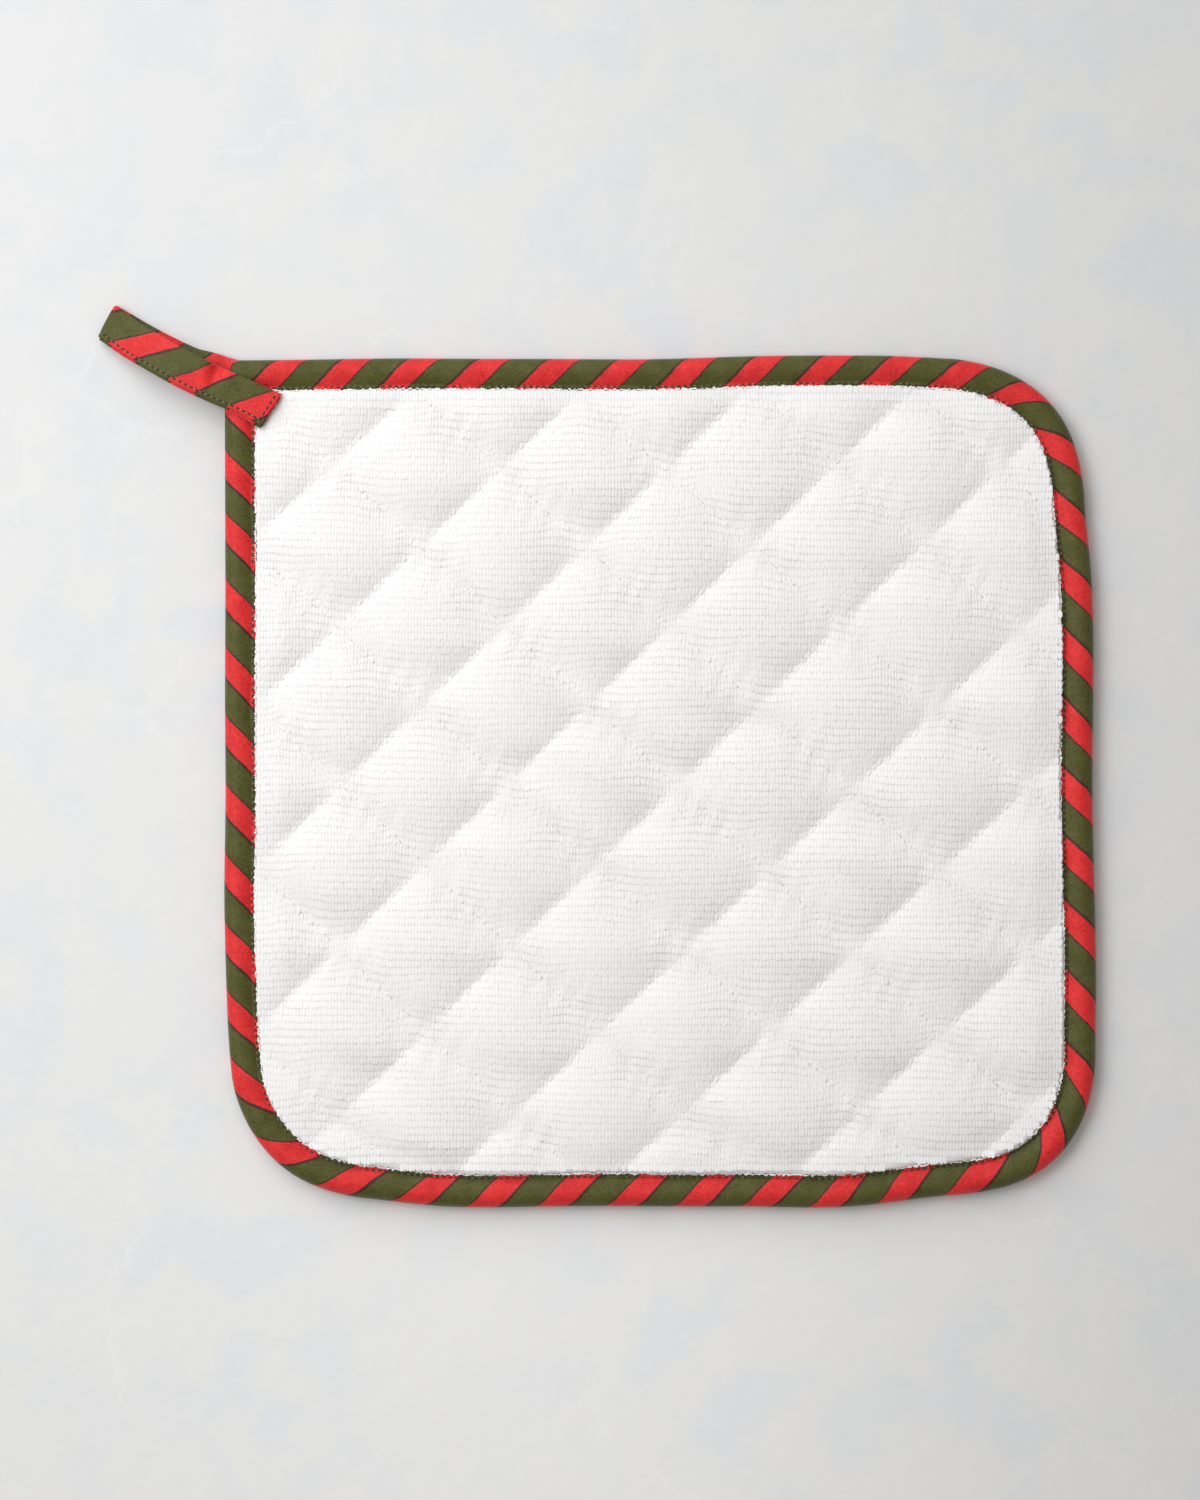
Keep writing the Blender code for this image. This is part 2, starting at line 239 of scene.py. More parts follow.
@dataclass(frozen=True)
class Bead:
    """A small closed lump that is repeated many times: a loop of pile, or one stitch."""

    sides: int = 4
    rings: int = 4
    arch: float = 0.0                      # how far the ends drop, as a share of the height
    faceted: bool = False                  # a ridge along the top and flat faces, or a smooth flat top

    def template(self) -> tuple[Points, Points]:
        """Vertices of a lump of radius 1 that lies along Y, and its triangles."""
        bm = bmesh.new()
        bmesh.ops.create_uvsphere(bm, u_segments=self.sides, v_segments=self.rings, radius=1.0)
        if not self.faceted:
            turn = Matrix.Rotation(math.pi / self.sides, 3, "Z")
            bmesh.ops.rotate(bm, cent=(0.0, 0.0, 0.0), matrix=turn, verts=bm.verts)
            widen = 1.0 / math.cos(math.pi / self.sides)
            bmesh.ops.scale(bm, vec=(widen, widen, 1.0), verts=bm.verts)
        bmesh.ops.triangulate(bm, faces=bm.faces)
        bm.verts.index_update()
        verts = np.array([(vert.co.x, vert.co.z, vert.co.y) for vert in bm.verts])
        faces = np.array([[vert.index for vert in reversed(face.verts)] for face in bm.faces])
        bm.free()
        verts[:, 2] -= self.arch * verts[:, 1] ** 2
        return verts, faces

    def spread(
        self, name: str, centres: Points, frames: Points, material: bpy.types.Material
    ) -> bpy.types.Object:
        """Join one lump at each centre into one piece.

        Args:
            name: The piece's name.
            centres: Where the lumps lie, in millimetres.
            frames: The lumps' axes, from lump_axes.
            material: The finish.

        Returns:
            The piece; its UV map runs along each lump from 0 to 1.
        """
        verts, faces = self.template()
        places = centres[:, None, :] + np.einsum("vk,nkc->nvc", verts, frames)
        count, per = len(centres), len(verts)
        corners = (faces[None] + (np.arange(count) * per)[:, None, None]).reshape(-1)
        mesh = bpy.data.meshes.new(name)
        mesh.vertices.add(count * per)
        mesh.vertices.foreach_set("co", (places * MM).reshape(-1).astype(np.float32))
        mesh.loops.add(len(corners))
        mesh.loops.foreach_set("vertex_index", corners.astype(np.int32))
        mesh.polygons.add(len(corners) // 3)
        mesh.polygons.foreach_set("loop_start", np.arange(0, len(corners), 3, dtype=np.int32))
        along = np.stack((verts[:, 0], verts[:, 1]), axis=1) * 0.5 + 0.5
        layer = mesh.uv_layers.new(name="lump")
        pairs = np.tile(along[faces.reshape(-1)], (count, 1))
        layer.data.foreach_set("uv", pairs.reshape(-1).astype(np.float32))
        mesh.update(calc_edges=True)
        mesh.validate()
        if self.faceted:
            mesh.shade_flat()
        else:
            mesh.shade_smooth()
        return link_piece(name, mesh, material)


# ---------------------------------------------------------------------------------------------
# Finishes
# ---------------------------------------------------------------------------------------------
class Bench:
    """Lays out the nodes of one material."""

    def __init__(self, name: str) -> None:
        """Start a material with its shader."""
        self.material = bpy.data.materials.new(name)
        self.material.use_nodes = True
        self.nodes = self.material.node_tree.nodes
        self.links = self.material.node_tree.links
        self.shader = self.nodes["Principled BSDF"]

    def add(self, kind: str, **settings: object) -> bpy.types.Node:
        """Add a node and set its options."""
        node = self.nodes.new(kind)
        for key, value in settings.items():
            setattr(node, key, value)
        return node

    def feed(self, target: bpy.types.NodeSocket, value: object) -> None:
        """Link a socket to an input, or set the input to a value."""
        if isinstance(value, bpy.types.NodeSocket):
            self.links.new(value, target)
        else:
            target.default_value = value

    def set(self, **values: object) -> None:
        """Set or link the shader's own inputs, named with _ for a space."""
        for key, value in values.items():
            self.feed(self.shader.inputs[key.replace("_", " ")], value)

    def object_mm(self) -> bpy.types.NodeSocket:
        """The place on the piece, in millimetres."""
        coords = self.add("ShaderNodeTexCoord")
        scale = self.add("ShaderNodeVectorMath", operation="SCALE")
        self.feed(scale.inputs[0], coords.outputs["Object"])
        scale.inputs["Scale"].default_value = 1.0 / MM
        return scale.outputs[0]

    def uv(self, name: str) -> bpy.types.NodeSocket:
        """A UV map by its name."""
        return self.add("ShaderNodeUVMap", uv_map=name).outputs[0]

    def split(self, vector: bpy.types.NodeSocket) -> tuple[bpy.types.NodeSocket, ...]:
        """The X, Y and Z of a vector."""
        node = self.add("ShaderNodeSeparateXYZ")
        self.feed(node.inputs[0], vector)
        return tuple(node.outputs)

    def math(
        self, operation: str, first: object, second: object = 0.0, third: object = 0.5
    ) -> bpy.types.NodeSocket:
        """A sum on two values, or on three."""
        node = self.add("ShaderNodeMath", operation=operation)
        for socket, value in zip(node.inputs, (first, second, third)):
            self.feed(socket, value)
        return node.outputs[0]

    def vector(self, operation: str, first: object, second: object) -> bpy.types.NodeSocket:
        """A sum on two vectors."""
        node = self.add("ShaderNodeVectorMath", operation=operation)
        self.feed(node.inputs[0], first)
        self.feed(node.inputs[1], second)
        return node.outputs[0]

    def away(self, share: bpy.types.NodeSocket) -> bpy.types.NodeSocket:
        """How far a share from 0 to 1 lies from its middle: 0 there, and 1 at both ends."""
        return self.math("ABSOLUTE", self.math("MULTIPLY_ADD", share, 2.0, -1.0))

    def noise(self, vector: bpy.types.NodeSocket, scale: float, detail: float = 2.0) -> bpy.types.NodeSocket:
        """Soft noise from 0 to 1."""
        node = self.add("ShaderNodeTexNoise")
        self.feed(node.inputs["Vector"], vector)
        node.inputs["Scale"].default_value = scale
        node.inputs["Detail"].default_value = detail
        return node.outputs["Fac"]

    def ramp(self, factor: object, stops: Sequence[tuple[float, Colour]]) -> bpy.types.NodeSocket:
        """Colours along a factor from 0 to 1."""
        node = self.add("ShaderNodeValToRGB")
        self.feed(node.inputs[0], factor)
        elements = node.color_ramp.elements
        for position, _ in stops[1:-1]:
            elements.new(position)
        for element, (position, colour) in zip(elements, stops):
            element.position = position
            element.color = (*colour, 1.0)
        return node.outputs[0]

    def rise(
        self, factor: object, low: float, high: float, start: float = 0.0, end: float = 1.0
    ) -> bpy.types.NodeSocket:
        """Go from start to end as a factor goes from low to high."""
        return self.ramp(factor, [(low, (start,) * 3), (high, (end,) * 3)])

    def mix(self, factor: object, first: object, second: object, blend: str = "MIX") -> bpy.types.NodeSocket:
        """Two colours mixed."""
        node = self.add("ShaderNodeMix", data_type="RGBA", blend_type=blend)
        self.feed(node.inputs[0], factor)
        for socket, value in ((node.inputs[6], first), (node.inputs[7], second)):
            self.feed(socket, (*value, 1.0) if isinstance(value, tuple) else value)
        return node.outputs[2]

    def wave(self, place: object, pitch: float) -> bpy.types.NodeSocket:
        """A wave from 0 to 1 that repeats each pitch."""
        turns = self.math("MULTIPLY", place, 2.0 * math.pi / pitch)
        return self.math("MULTIPLY_ADD", self.math("SINE", turns), 0.5)

    def bump(self, height: object, distance: float) -> None:
        """Raise the surface by a height from 0 to 1, times a distance in metres."""
        node = self.add("ShaderNodeBump")
        self.feed(node.inputs["Height"], height)
        node.inputs["Distance"].default_value = distance
        self.set(Normal=node.outputs[0])


@dataclass(frozen=True)
class TerryFinish:
    """White looped cotton."""

    light: Colour = (0.792, 0.791, 0.793)
    dark: Colour = (0.785, 0.778, 0.773)
    gap_painted_shade: Colour = (0.950, 0.912, 0.895)    # painted warm shade between two loops: the share of the light left there
    side_painted_shade_share: float = 0.4                # how much painted shade darkens a loop's sides, against its ends
    pile: float = 0.15                     # how far the bump raises the rows
    fuzz: float = 0.02

    def bench(self, name: str) -> tuple[Bench, bpy.types.NodeSocket]:
        """The cotton's colour and sheen, and the place on the piece for its relief."""
        bench = Bench(name)
        place = bench.object_mm()
        patches = bench.noise(place, 0.09, 3.0)
        fluff = bench.noise(place, 1.7, 2.0)
        tone = bench.math("ADD", bench.math("MULTIPLY", patches, 0.6), bench.math("MULTIPLY", fluff, 0.4))
        bench.set(Base_Color=bench.mix(tone, self.dark, self.light))
        bench.set(Roughness=0.95, Sheen_Weight=0.2, Sheen_Roughness=0.6, Specular_IOR_Level=0.1)
        return bench, place

    def cloth(self) -> bpy.types.Material:
        """The cloth itself, with rows and combs of loops on Object coordinates."""
        bench, place = self.bench("white_terry_cloth")
        x, y, _ = bench.split(place)
        rows = bench.wave(y, ROW_PITCH)
        combs = bench.wave(x, COMB_PITCH)
        loops = bench.math("MULTIPLY", rows, bench.math("MULTIPLY_ADD", combs, 0.6))
        height = bench.math("ADD", loops, bench.math("MULTIPLY", bench.noise(place, 4.0, 2.0), 0.7))
        bench.bump(height, self.pile * MM)
        return bench.material

    def loops(self) -> bpy.types.Material:
        """The loops of the pile: soft twisted yarn, with painted shade darkening each loop towards its sides
        and ends.
        """
        bench, place = self.bench("white_terry_loops")
        across, along, _ = bench.split(bench.uv("lump"))
        # Painted shade: each loop darkens towards its sides and its ends, where it meets its neighbours.
        sides = bench.math("MULTIPLY", bench.math("POWER", bench.away(across), 2.0), self.side_painted_shade_share)
        ends = bench.math("POWER", bench.away(along), 3.0)
        rim = bench.math("MAXIMUM", sides, ends)
        tone = bench.shader.inputs["Base Color"].links[0].from_socket
        bench.set(Base_Color=bench.mix(rim, tone, bench.mix(1.0, tone, self.gap_painted_shade, "MULTIPLY")))
        bench.bump(bench.noise(place, 5.0, 2.0), self.fuzz * MM)
        return bench.material


@dataclass(frozen=True)
class StripedTapeFinish:
    """Plain-woven cotton, printed with slanting stripes that have dark outlines."""

    red: Colour = (0.635, 0.0175, 0.0210)
    olive: Colour = (0.0657, 0.0675, 0.0112)
    outline: Colour = (0.045, 0.016, 0.012)
    red_width: float = 7.7
    thick_outline: float = 0.95
    thin_outline: float = 0.6
    yarn_pitch: float = 0.36
    worn_dark: Colour = (0.76, 0.70, 0.68)
    worn_light: Colour = (1.24, 1.34, 1.36)
    dust: Colour = (1.0, 0.75, 0.45)
    dust_share: float = 0.022
    bleed: float = 0.004                   # how far the colours run into each other
    bias: float = 1.414                    # the yarns lie at 45 degrees to the tape
    relief: float = 0.07
    slub_share: float = 0.6
    grain_start: float = -1.30
    # What makes the colour uneven: noise by its scale, detail and weight.
    grain: tuple[tuple[float, float, float], ...] = ((1.9, 3.0, 1.5), (0.2, 2.0, 0.8))

    def stops(self) -> list[tuple[float, Colour]]:
        """The stripe's colours over one period, with a slight bleed between them."""
        red_end = self.red_width / STRIPE_PERIOD
        olive_start = (self.red_width + self.thick_outline) / STRIPE_PERIOD
        olive_end = 1.0 - self.thin_outline / STRIPE_PERIOD
        changes = (
            (red_end, self.red, self.outline),
            (olive_start, self.outline, self.olive),
            (olive_end, self.olive, self.outline),
        )
        stops = [(0.0, self.red)]
        for place, before, after in changes:
            stops.extend(((place - self.bleed, before), (place + self.bleed, after)))
        return stops + [(1.0 - self.bleed, self.outline), (1.0, self.red)]

    def material(self) -> bpy.types.Material:
        """The finish; its stripes follow the map "stripe" and its weave the map "cloth"."""
        bench = Bench("striped_tape_cloth")
        place = bench.object_mm()
        u, v, _ = bench.split(bench.uv("stripe"))
        along = bench.math("ADD", u, v)
        wobble = bench.math("MULTIPLY_ADD", bench.noise(place, 0.9, 2.0), 0.5)
        along = bench.math("ADD", along, wobble)
        phase = bench.math("FRACT", bench.math("DIVIDE", along, STRIPE_PERIOD))
        stripes = bench.ramp(phase, self.stops())

        s, t, _ = bench.split(bench.uv("cloth"))
        warp, weft = bench.math("ADD", s, t), bench.math("SUBTRACT", s, t)
        pitch = self.yarn_pitch * self.bias
        weave = bench.math("MULTIPLY", bench.wave(warp, pitch), bench.wave(weft, pitch))
        slubs = bench.math("ADD", self.yarns(bench, warp, weft), self.yarns(bench, weft, warp))
        grain = bench.math("MULTIPLY_ADD", slubs, self.slub_share, self.grain_start)
        for scale, detail, weight in self.grain:
            grain = bench.math("MULTIPLY_ADD", bench.noise(place, scale, detail), weight, grain)
        dark = bench.mix(1.0, stripes, self.worn_dark, "MULTIPLY")
        light = bench.mix(self.dust_share, bench.mix(1.0, stripes, self.worn_light, "MULTIPLY"), self.dust)
        bench.set(Base_Color=bench.mix(grain, dark, light))
        height = bench.math("ADD", bench.math("MULTIPLY", weave, 0.6), slubs)
        bench.bump(height, self.relief * MM)
        bench.set(Roughness=0.5, Sheen_Weight=0.3, Sheen_Roughness=0.3, Specular_IOR_Level=0.2)
        return bench.material

    def yarns(
        self, bench: Bench, across: bpy.types.NodeSocket, along: bpy.types.NodeSocket
    ) -> bpy.types.NodeSocket:
        """Uneven yarns that run one way through the cloth."""
        place = bench.add("ShaderNodeCombineXYZ")
        bench.feed(place.inputs[0], bench.math("MULTIPLY", across, 2.0))
        bench.feed(place.inputs[1], bench.math("MULTIPLY", along, 0.35))
        return bench.noise(place.outputs[0], 1.0, 1.0)


@dataclass(frozen=True)
class ThreadFinish:
    """Sewing thread; each stitch takes another colour at its ends, where it dips into the cloth; on the
    white thread those darker ends are painted shade.
    """

    name: str
    colour: Colour
    # The colour at a stitch's ends; on the white thread these darker ends are painted shade in the dip.
    ends: Colour
    open_share: float = 0.5                # the share of a stitch's length before its ends
    bleed: float = 0.12
    twist_pitch: float = 0.16              # as a share of a stitch
    relief: float = 0.03

    def material(self) -> bpy.types.Material:
        """The finish, with the twist of the yarn."""
        bench = Bench(self.name)
        _, along, _ = bench.split(bench.uv("lump"))
        edge = self.open_share
        stops = [(0.0, self.colour), (edge, self.colour), (edge + self.bleed, self.ends), (1.0, self.ends)]
        colour = bench.ramp(bench.away(along), stops)
        bench.set(Base_Color=colour, Roughness=0.6, Sheen_Weight=0.2, Specular_IOR_Level=0.35)
        twist = bench.wave(bench.math("ADD", along, bench.noise(bench.object_mm(), 3.0)), self.twist_pitch)
        bench.bump(twist, self.relief * MM)
        return bench.material


@dataclass(frozen=True)
class FloorFinish:
    """A pale plastered surface with faint cool blotches and lighter veins, and painted light: darker to the
    right and to the top, with a lighter patch below the middle.
    """

    light: Colour = (0.638, 0.638, 0.635)
    cloud: Colour = (0.610, 0.619, 0.632)
    vein: Colour = (0.668, 0.667, 0.662)
    vein_width: float = 0.022              # as a share of the noise that draws the veins
    relief: float = 0.15
    painted_light_fall: tuple[float, float] = (0.00017, 0.00014)     # painted light falloff: the share of the tone lost over each millimetre, to the right and to the top
    # A painted pool of light: the middle of the lighter patch, its reach and how much lighter it is.
    painted_light_patch: tuple[float, float, float] = (0.0, -120.0, 0.0)
    painted_light_patch_scale: tuple[float, float, float] = (1.0 / 120.0, 1.0 / 260.0, 1.0)
    painted_light_patch_gain: float = 0.14

    def material(self) -> bpy.types.Material:
        """The finish."""
        bench = Bench("pale_plaster")
        place = bench.object_mm()
        blotches = bench.rise(bench.noise(place, 0.05, 8.0), 0.46, 0.58)
        clouds = bench.rise(bench.noise(place, 0.013, 2.0), 0.38, 0.56, start=0.25)
        base = bench.mix(bench.math("MULTIPLY", blotches, clouds), self.light, self.cloud)
        line = bench.rise(bench.away(bench.noise(place, 0.012, 7.0)), 0.0, self.vein_width, 1.0, 0.0)
        share = bench.rise(bench.noise(place, 0.02, 1.0), 0.47, 0.62, end=0.6)
        base = bench.mix(bench.math("MULTIPLY", line, share), base, self.vein)
        # Painted light: the colour is multiplied by the painted falloff and the lighter patch.
        bench.set(Base_Color=bench.mix(1.0, base, self.tone(bench, place), "MULTIPLY"))
        bench.set(Roughness=0.8, Specular_IOR_Level=0.1)
        bench.bump(bench.noise(place, 0.15, 4.0), self.relief * MM)
        return bench.material

    def tone(self, bench: Bench, place: bpy.types.NodeSocket) -> bpy.types.NodeSocket:
        """The painted light over the surface, about 1: a fall to the right and to the top, and a lighter
        patch.
        """
        away = bench.vector("MULTIPLY", bench.vector("SUBTRACT", place, self.painted_light_patch), self.painted_light_patch_scale)
        length = bench.add("ShaderNodeVectorMath", operation="LENGTH")
        bench.feed(length.inputs[0], away)
        near = bench.math("POWER", length.outputs["Value"], 2.0)
        near = bench.math("EXPONENT", bench.math("MULTIPLY", near, -1.0))
        x, y, _ = bench.split(place)
        across = bench.math("MULTIPLY_ADD", x, -self.painted_light_fall[0], 1.0)
        painted_falloff = bench.math("MULTIPLY_ADD", y, -self.painted_light_fall[1], across)
        return bench.math("MULTIPLY_ADD", near, self.painted_light_patch_gain, painted_falloff)


# ---------------------------------------------------------------------------------------------
# The outline and the quilting, which more than one piece follows
# ---------------------------------------------------------------------------------------------
class Corner(NamedTuple):
    """Where two sides would meet, and how far they are rounded."""

    x: float
    y: float
    radius: float


class Swell(NamedTuple):
    """A place where the edge stands out, how far, and over what stretch of it."""

    x: float
    y: float
    out: float
    spread: float = 14.0


@dataclass(frozen=True)
class BoundEdge:
    """The outline of the bound square, and the rings that follow it further in.

    A ring always has the same count of stations, so that station by station two rings match.
    """

    corners: tuple[Corner, ...] = (
        Corner(-114.1, 110.5, 2.0),
        Corner(-113.4, -111.9, 35.9),
        Corner(114.0, -110.0, 38.9),
        Corner(113.5, 111.7, 37.8),
    )
    arc_stations: tuple[int, ...] = (8, 84, 78, 78)
    side_stations: tuple[int, ...] = (194, 164, 160, 204)
    inner_radius: float = 1.5
    batch: int = 4000                      # how many points are looked up at a time
    cover: tuple[float, ...] = (1.009, 1.079, 1.058, 1.015)
    swells: tuple[Swell, ...] = (
        Swell(-70.0, 111.0, 0.28), Swell(-5.0, 111.0, -0.30), Swell(30.0, 111.0, 0.44),
        Swell(62.0, 111.0, 0.47), Swell(84.0, 108.0, -1.02), Swell(112.0, 78.0, -2.41),
        Swell(114.5, 0.0, -0.36), Swell(115.0, -50.0, 0.46), Swell(104.0, -99.0, 1.11),
        Swell(80.0, -110.0, -2.18), Swell(45.0, -111.5, 1.03), Swell(10.0, -111.5, 0.39),
        Swell(-50.0, -111.5, 0.25), Swell(-84.0, -106.0, -2.94), Swell(-104.0, -90.0, -2.38),
        Swell(-114.0, -30.0, 0.53), Swell(-114.0, 20.0, 0.19),
    )

    def plain_ring(self, inset: float) -> Points:
        """Stations of a ring before the edge's swells, anticlockwise from the loop's corner."""
        tips = np.array([(corner.x, corner.y) for corner in self.corners])
        along = unit(np.roll(tips, -1, axis=0) - tips)
        inward = left_of(along) * np.array(self.cover)[:, None]
        tips = tips + (inward + np.roll(inward, 1, axis=0)) * inset
        arcs = []
        for index, tip in enumerate(tips):
            radius = max(self.corners[index].radius - inset, self.inner_radius)
            before = unit(tips[index - 1] - tip)
            after = unit(tips[(index + 1) % len(tips)] - tip)
            bend = math.acos(float(before @ after))
            centre = tip + unit(before + after) * (radius / math.sin(bend / 2.0))
            start = tip + before * (radius / math.tan(bend / 2.0)) - centre
            angles = np.linspace(0.0, math.pi - bend, self.arc_stations[index] + 1)
            cosine, sine = np.cos(angles), np.sin(angles)
            turned = (start[0] * cosine - start[1] * sine, start[0] * sine + start[1] * cosine)
            arcs.append(centre + np.stack(turned, axis=1))
        ring = []
        for index, arc in enumerate(arcs):
            count = self.side_stations[index]
            shares = np.arange(1, count)[:, None] / count
            ring.extend((arc, arc[-1] + (arcs[(index + 1) % len(arcs)][0] - arc[-1]) * shares))
        return np.concatenate(ring)

    def outward(self, ring: Points) -> Points:
        """Unit vectors square to a ring, pointing out of the pad."""
        return -left_of(way_on(ring))

    def ring(self, inset: float) -> Points:
        """The ring that runs inset from the finished edge."""
        outer = self.plain_ring(0.0)
        amount = np.zeros(len(outer))
        for swell in self.swells:
            distance = np.linalg.norm(outer - (swell.x, swell.y), axis=1)
            amount += swell.out * np.exp(-0.5 * (distance / swell.spread) ** 2)
        return self.plain_ring(inset) + self.outward(outer) * amount[:, None]

    def lengths(self, inset: float) -> Points:
        """Distance walked round a ring, one more value than it has stations."""
        return running_length(closed(self.ring(inset)))

    def nearest(self, points: Points, ring: Points) -> Points:
        """The number of the station that is nearest to each point."""
        result = np.empty(len(points), int)
        for start in range(0, len(points), self.batch):
            part = slice(start, start + self.batch)
            apart = np.sum((points[part, None, :] - ring[None]) ** 2, axis=2)
            result[part] = np.argmin(apart, axis=1)
        return result

    def depth(self, points: Points, inset: float) -> Points:
        """How far points lie inside a ring; less than 0 outside it."""
        return self.room(points, inset, (0.0, 0.0))

    def room(self, points: Points, inset: float, half: tuple[float, float]) -> Points:
        """How far boxes of a half size, one round each point, keep inside a ring."""
        ring = self.ring(inset)
        near = self.nearest(points, ring)
        outward = self.outward(ring)[near]
        reach = np.linalg.norm(outward * half, axis=1)
        return np.sum((ring[near] - points) * outward, axis=1) - reach

    def polar(self, inset: float, angles: Points) -> Points:
        """Points of a ring in the given directions from the middle of the pad."""
        ring = self.ring(inset)
        bearing = np.arctan2(ring[:, 1], ring[:, 0])
        order = np.argsort(bearing)
        reach = np.interp(angles, bearing[order], np.linalg.norm(ring, axis=1)[order], period=2.0 * math.pi)
        return np.stack((np.cos(angles), np.sin(angles)), axis=-1) * reach[..., None]


class Seam(NamedTuple):
    """A quilting line: the height at which it crosses the pad's middle, and its slope."""

    crossing: float
    slope: float


@dataclass(frozen=True)
class QuiltLattice:
    """Two families of quilting lines, each listed from the highest down."""

    rising: tuple[Seam, ...] = (
        Seam(245.0, 0.92), Seam(203.0, 0.92), Seam(161.4, 0.918), Seam(121.9, 0.962),
        Seam(80.4, 0.973), Seam(38.4, 0.972), Seam(-5.1, 0.980), Seam(-50.3, 0.960),
        Seam(-92.1, 0.944), Seam(-135.1, 0.940), Seam(-178.0, 0.960), Seam(-222.0, 0.960),
    )
    falling: tuple[Seam, ...] = (
        Seam(244.0, -0.90), Seam(203.0, -0.90), Seam(162.3, -0.900), Seam(125.2, -0.913),
        Seam(82.7, -0.881), Seam(43.5, -0.918), Seam(3.0, -0.933), Seam(-37.6, -0.926),
        Seam(-80.6, -0.958), Seam(-123.5, -0.954), Seam(-167.6, -0.950), Seam(-211.0, -0.950),
        Seam(-255.0, -0.950),
    )
    ease: float = 0.02                     # how much of a diamond's width rounds off each seam

    def share(self, seams: Sequence[Seam], points: Points) -> Points:
        """How far points lie from the seam above them to the one below, from 0 to 1."""
        table = np.array(seams)
        heights = table[:, 0:1] + table[:, 1:2] * points[:, 0][None]
        upper = np.clip(np.sum(heights >= points[:, 1][None], axis=0) - 1, 0, len(seams) - 2)
        pick = np.arange(len(points))
        top, bottom = heights[upper, pick], heights[upper + 1, pick]
        return np.clip((top - points[:, 1]) / (top - bottom), 0.0, 1.0)

    def distance(self, seams: Sequence[Seam], points: Points) -> tuple[Points, Points, Points]:
        """The nearest seam of a family.

        Returns:
            Each point's distance from it, square to it and above 0 on its upper side, the place
            along it, and its number.
        """
        table = np.array(seams)
        over = points[:, 1][None] - (table[:, 0:1] + table[:, 1:2] * points[:, 0][None])
        square = over / np.sqrt(1.0 + table[:, 1:2] ** 2)
        near = np.argmin(np.abs(square), axis=0)
        pick = np.arange(len(points))
        slope = table[near, 1]
        along = (points[:, 0] + slope * points[:, 1]) / np.sqrt(1.0 + slope**2)
        return square[near, pick], along, near

    def crown(self, points: Points, power: float) -> Points:
        """Height of the crown over points: 0 along the seams, 1 in the middle of a diamond."""
        total = np.ones(len(points))
        level = 4.0 * self.ease
        for seams in (self.rising, self.falling):
            share = self.share(seams, points)
            bow = 4.0 * share * (1.0 - share)
            total *= (np.hypot(bow, level) - level) / (np.hypot(1.0, level) - level)
        return total**power


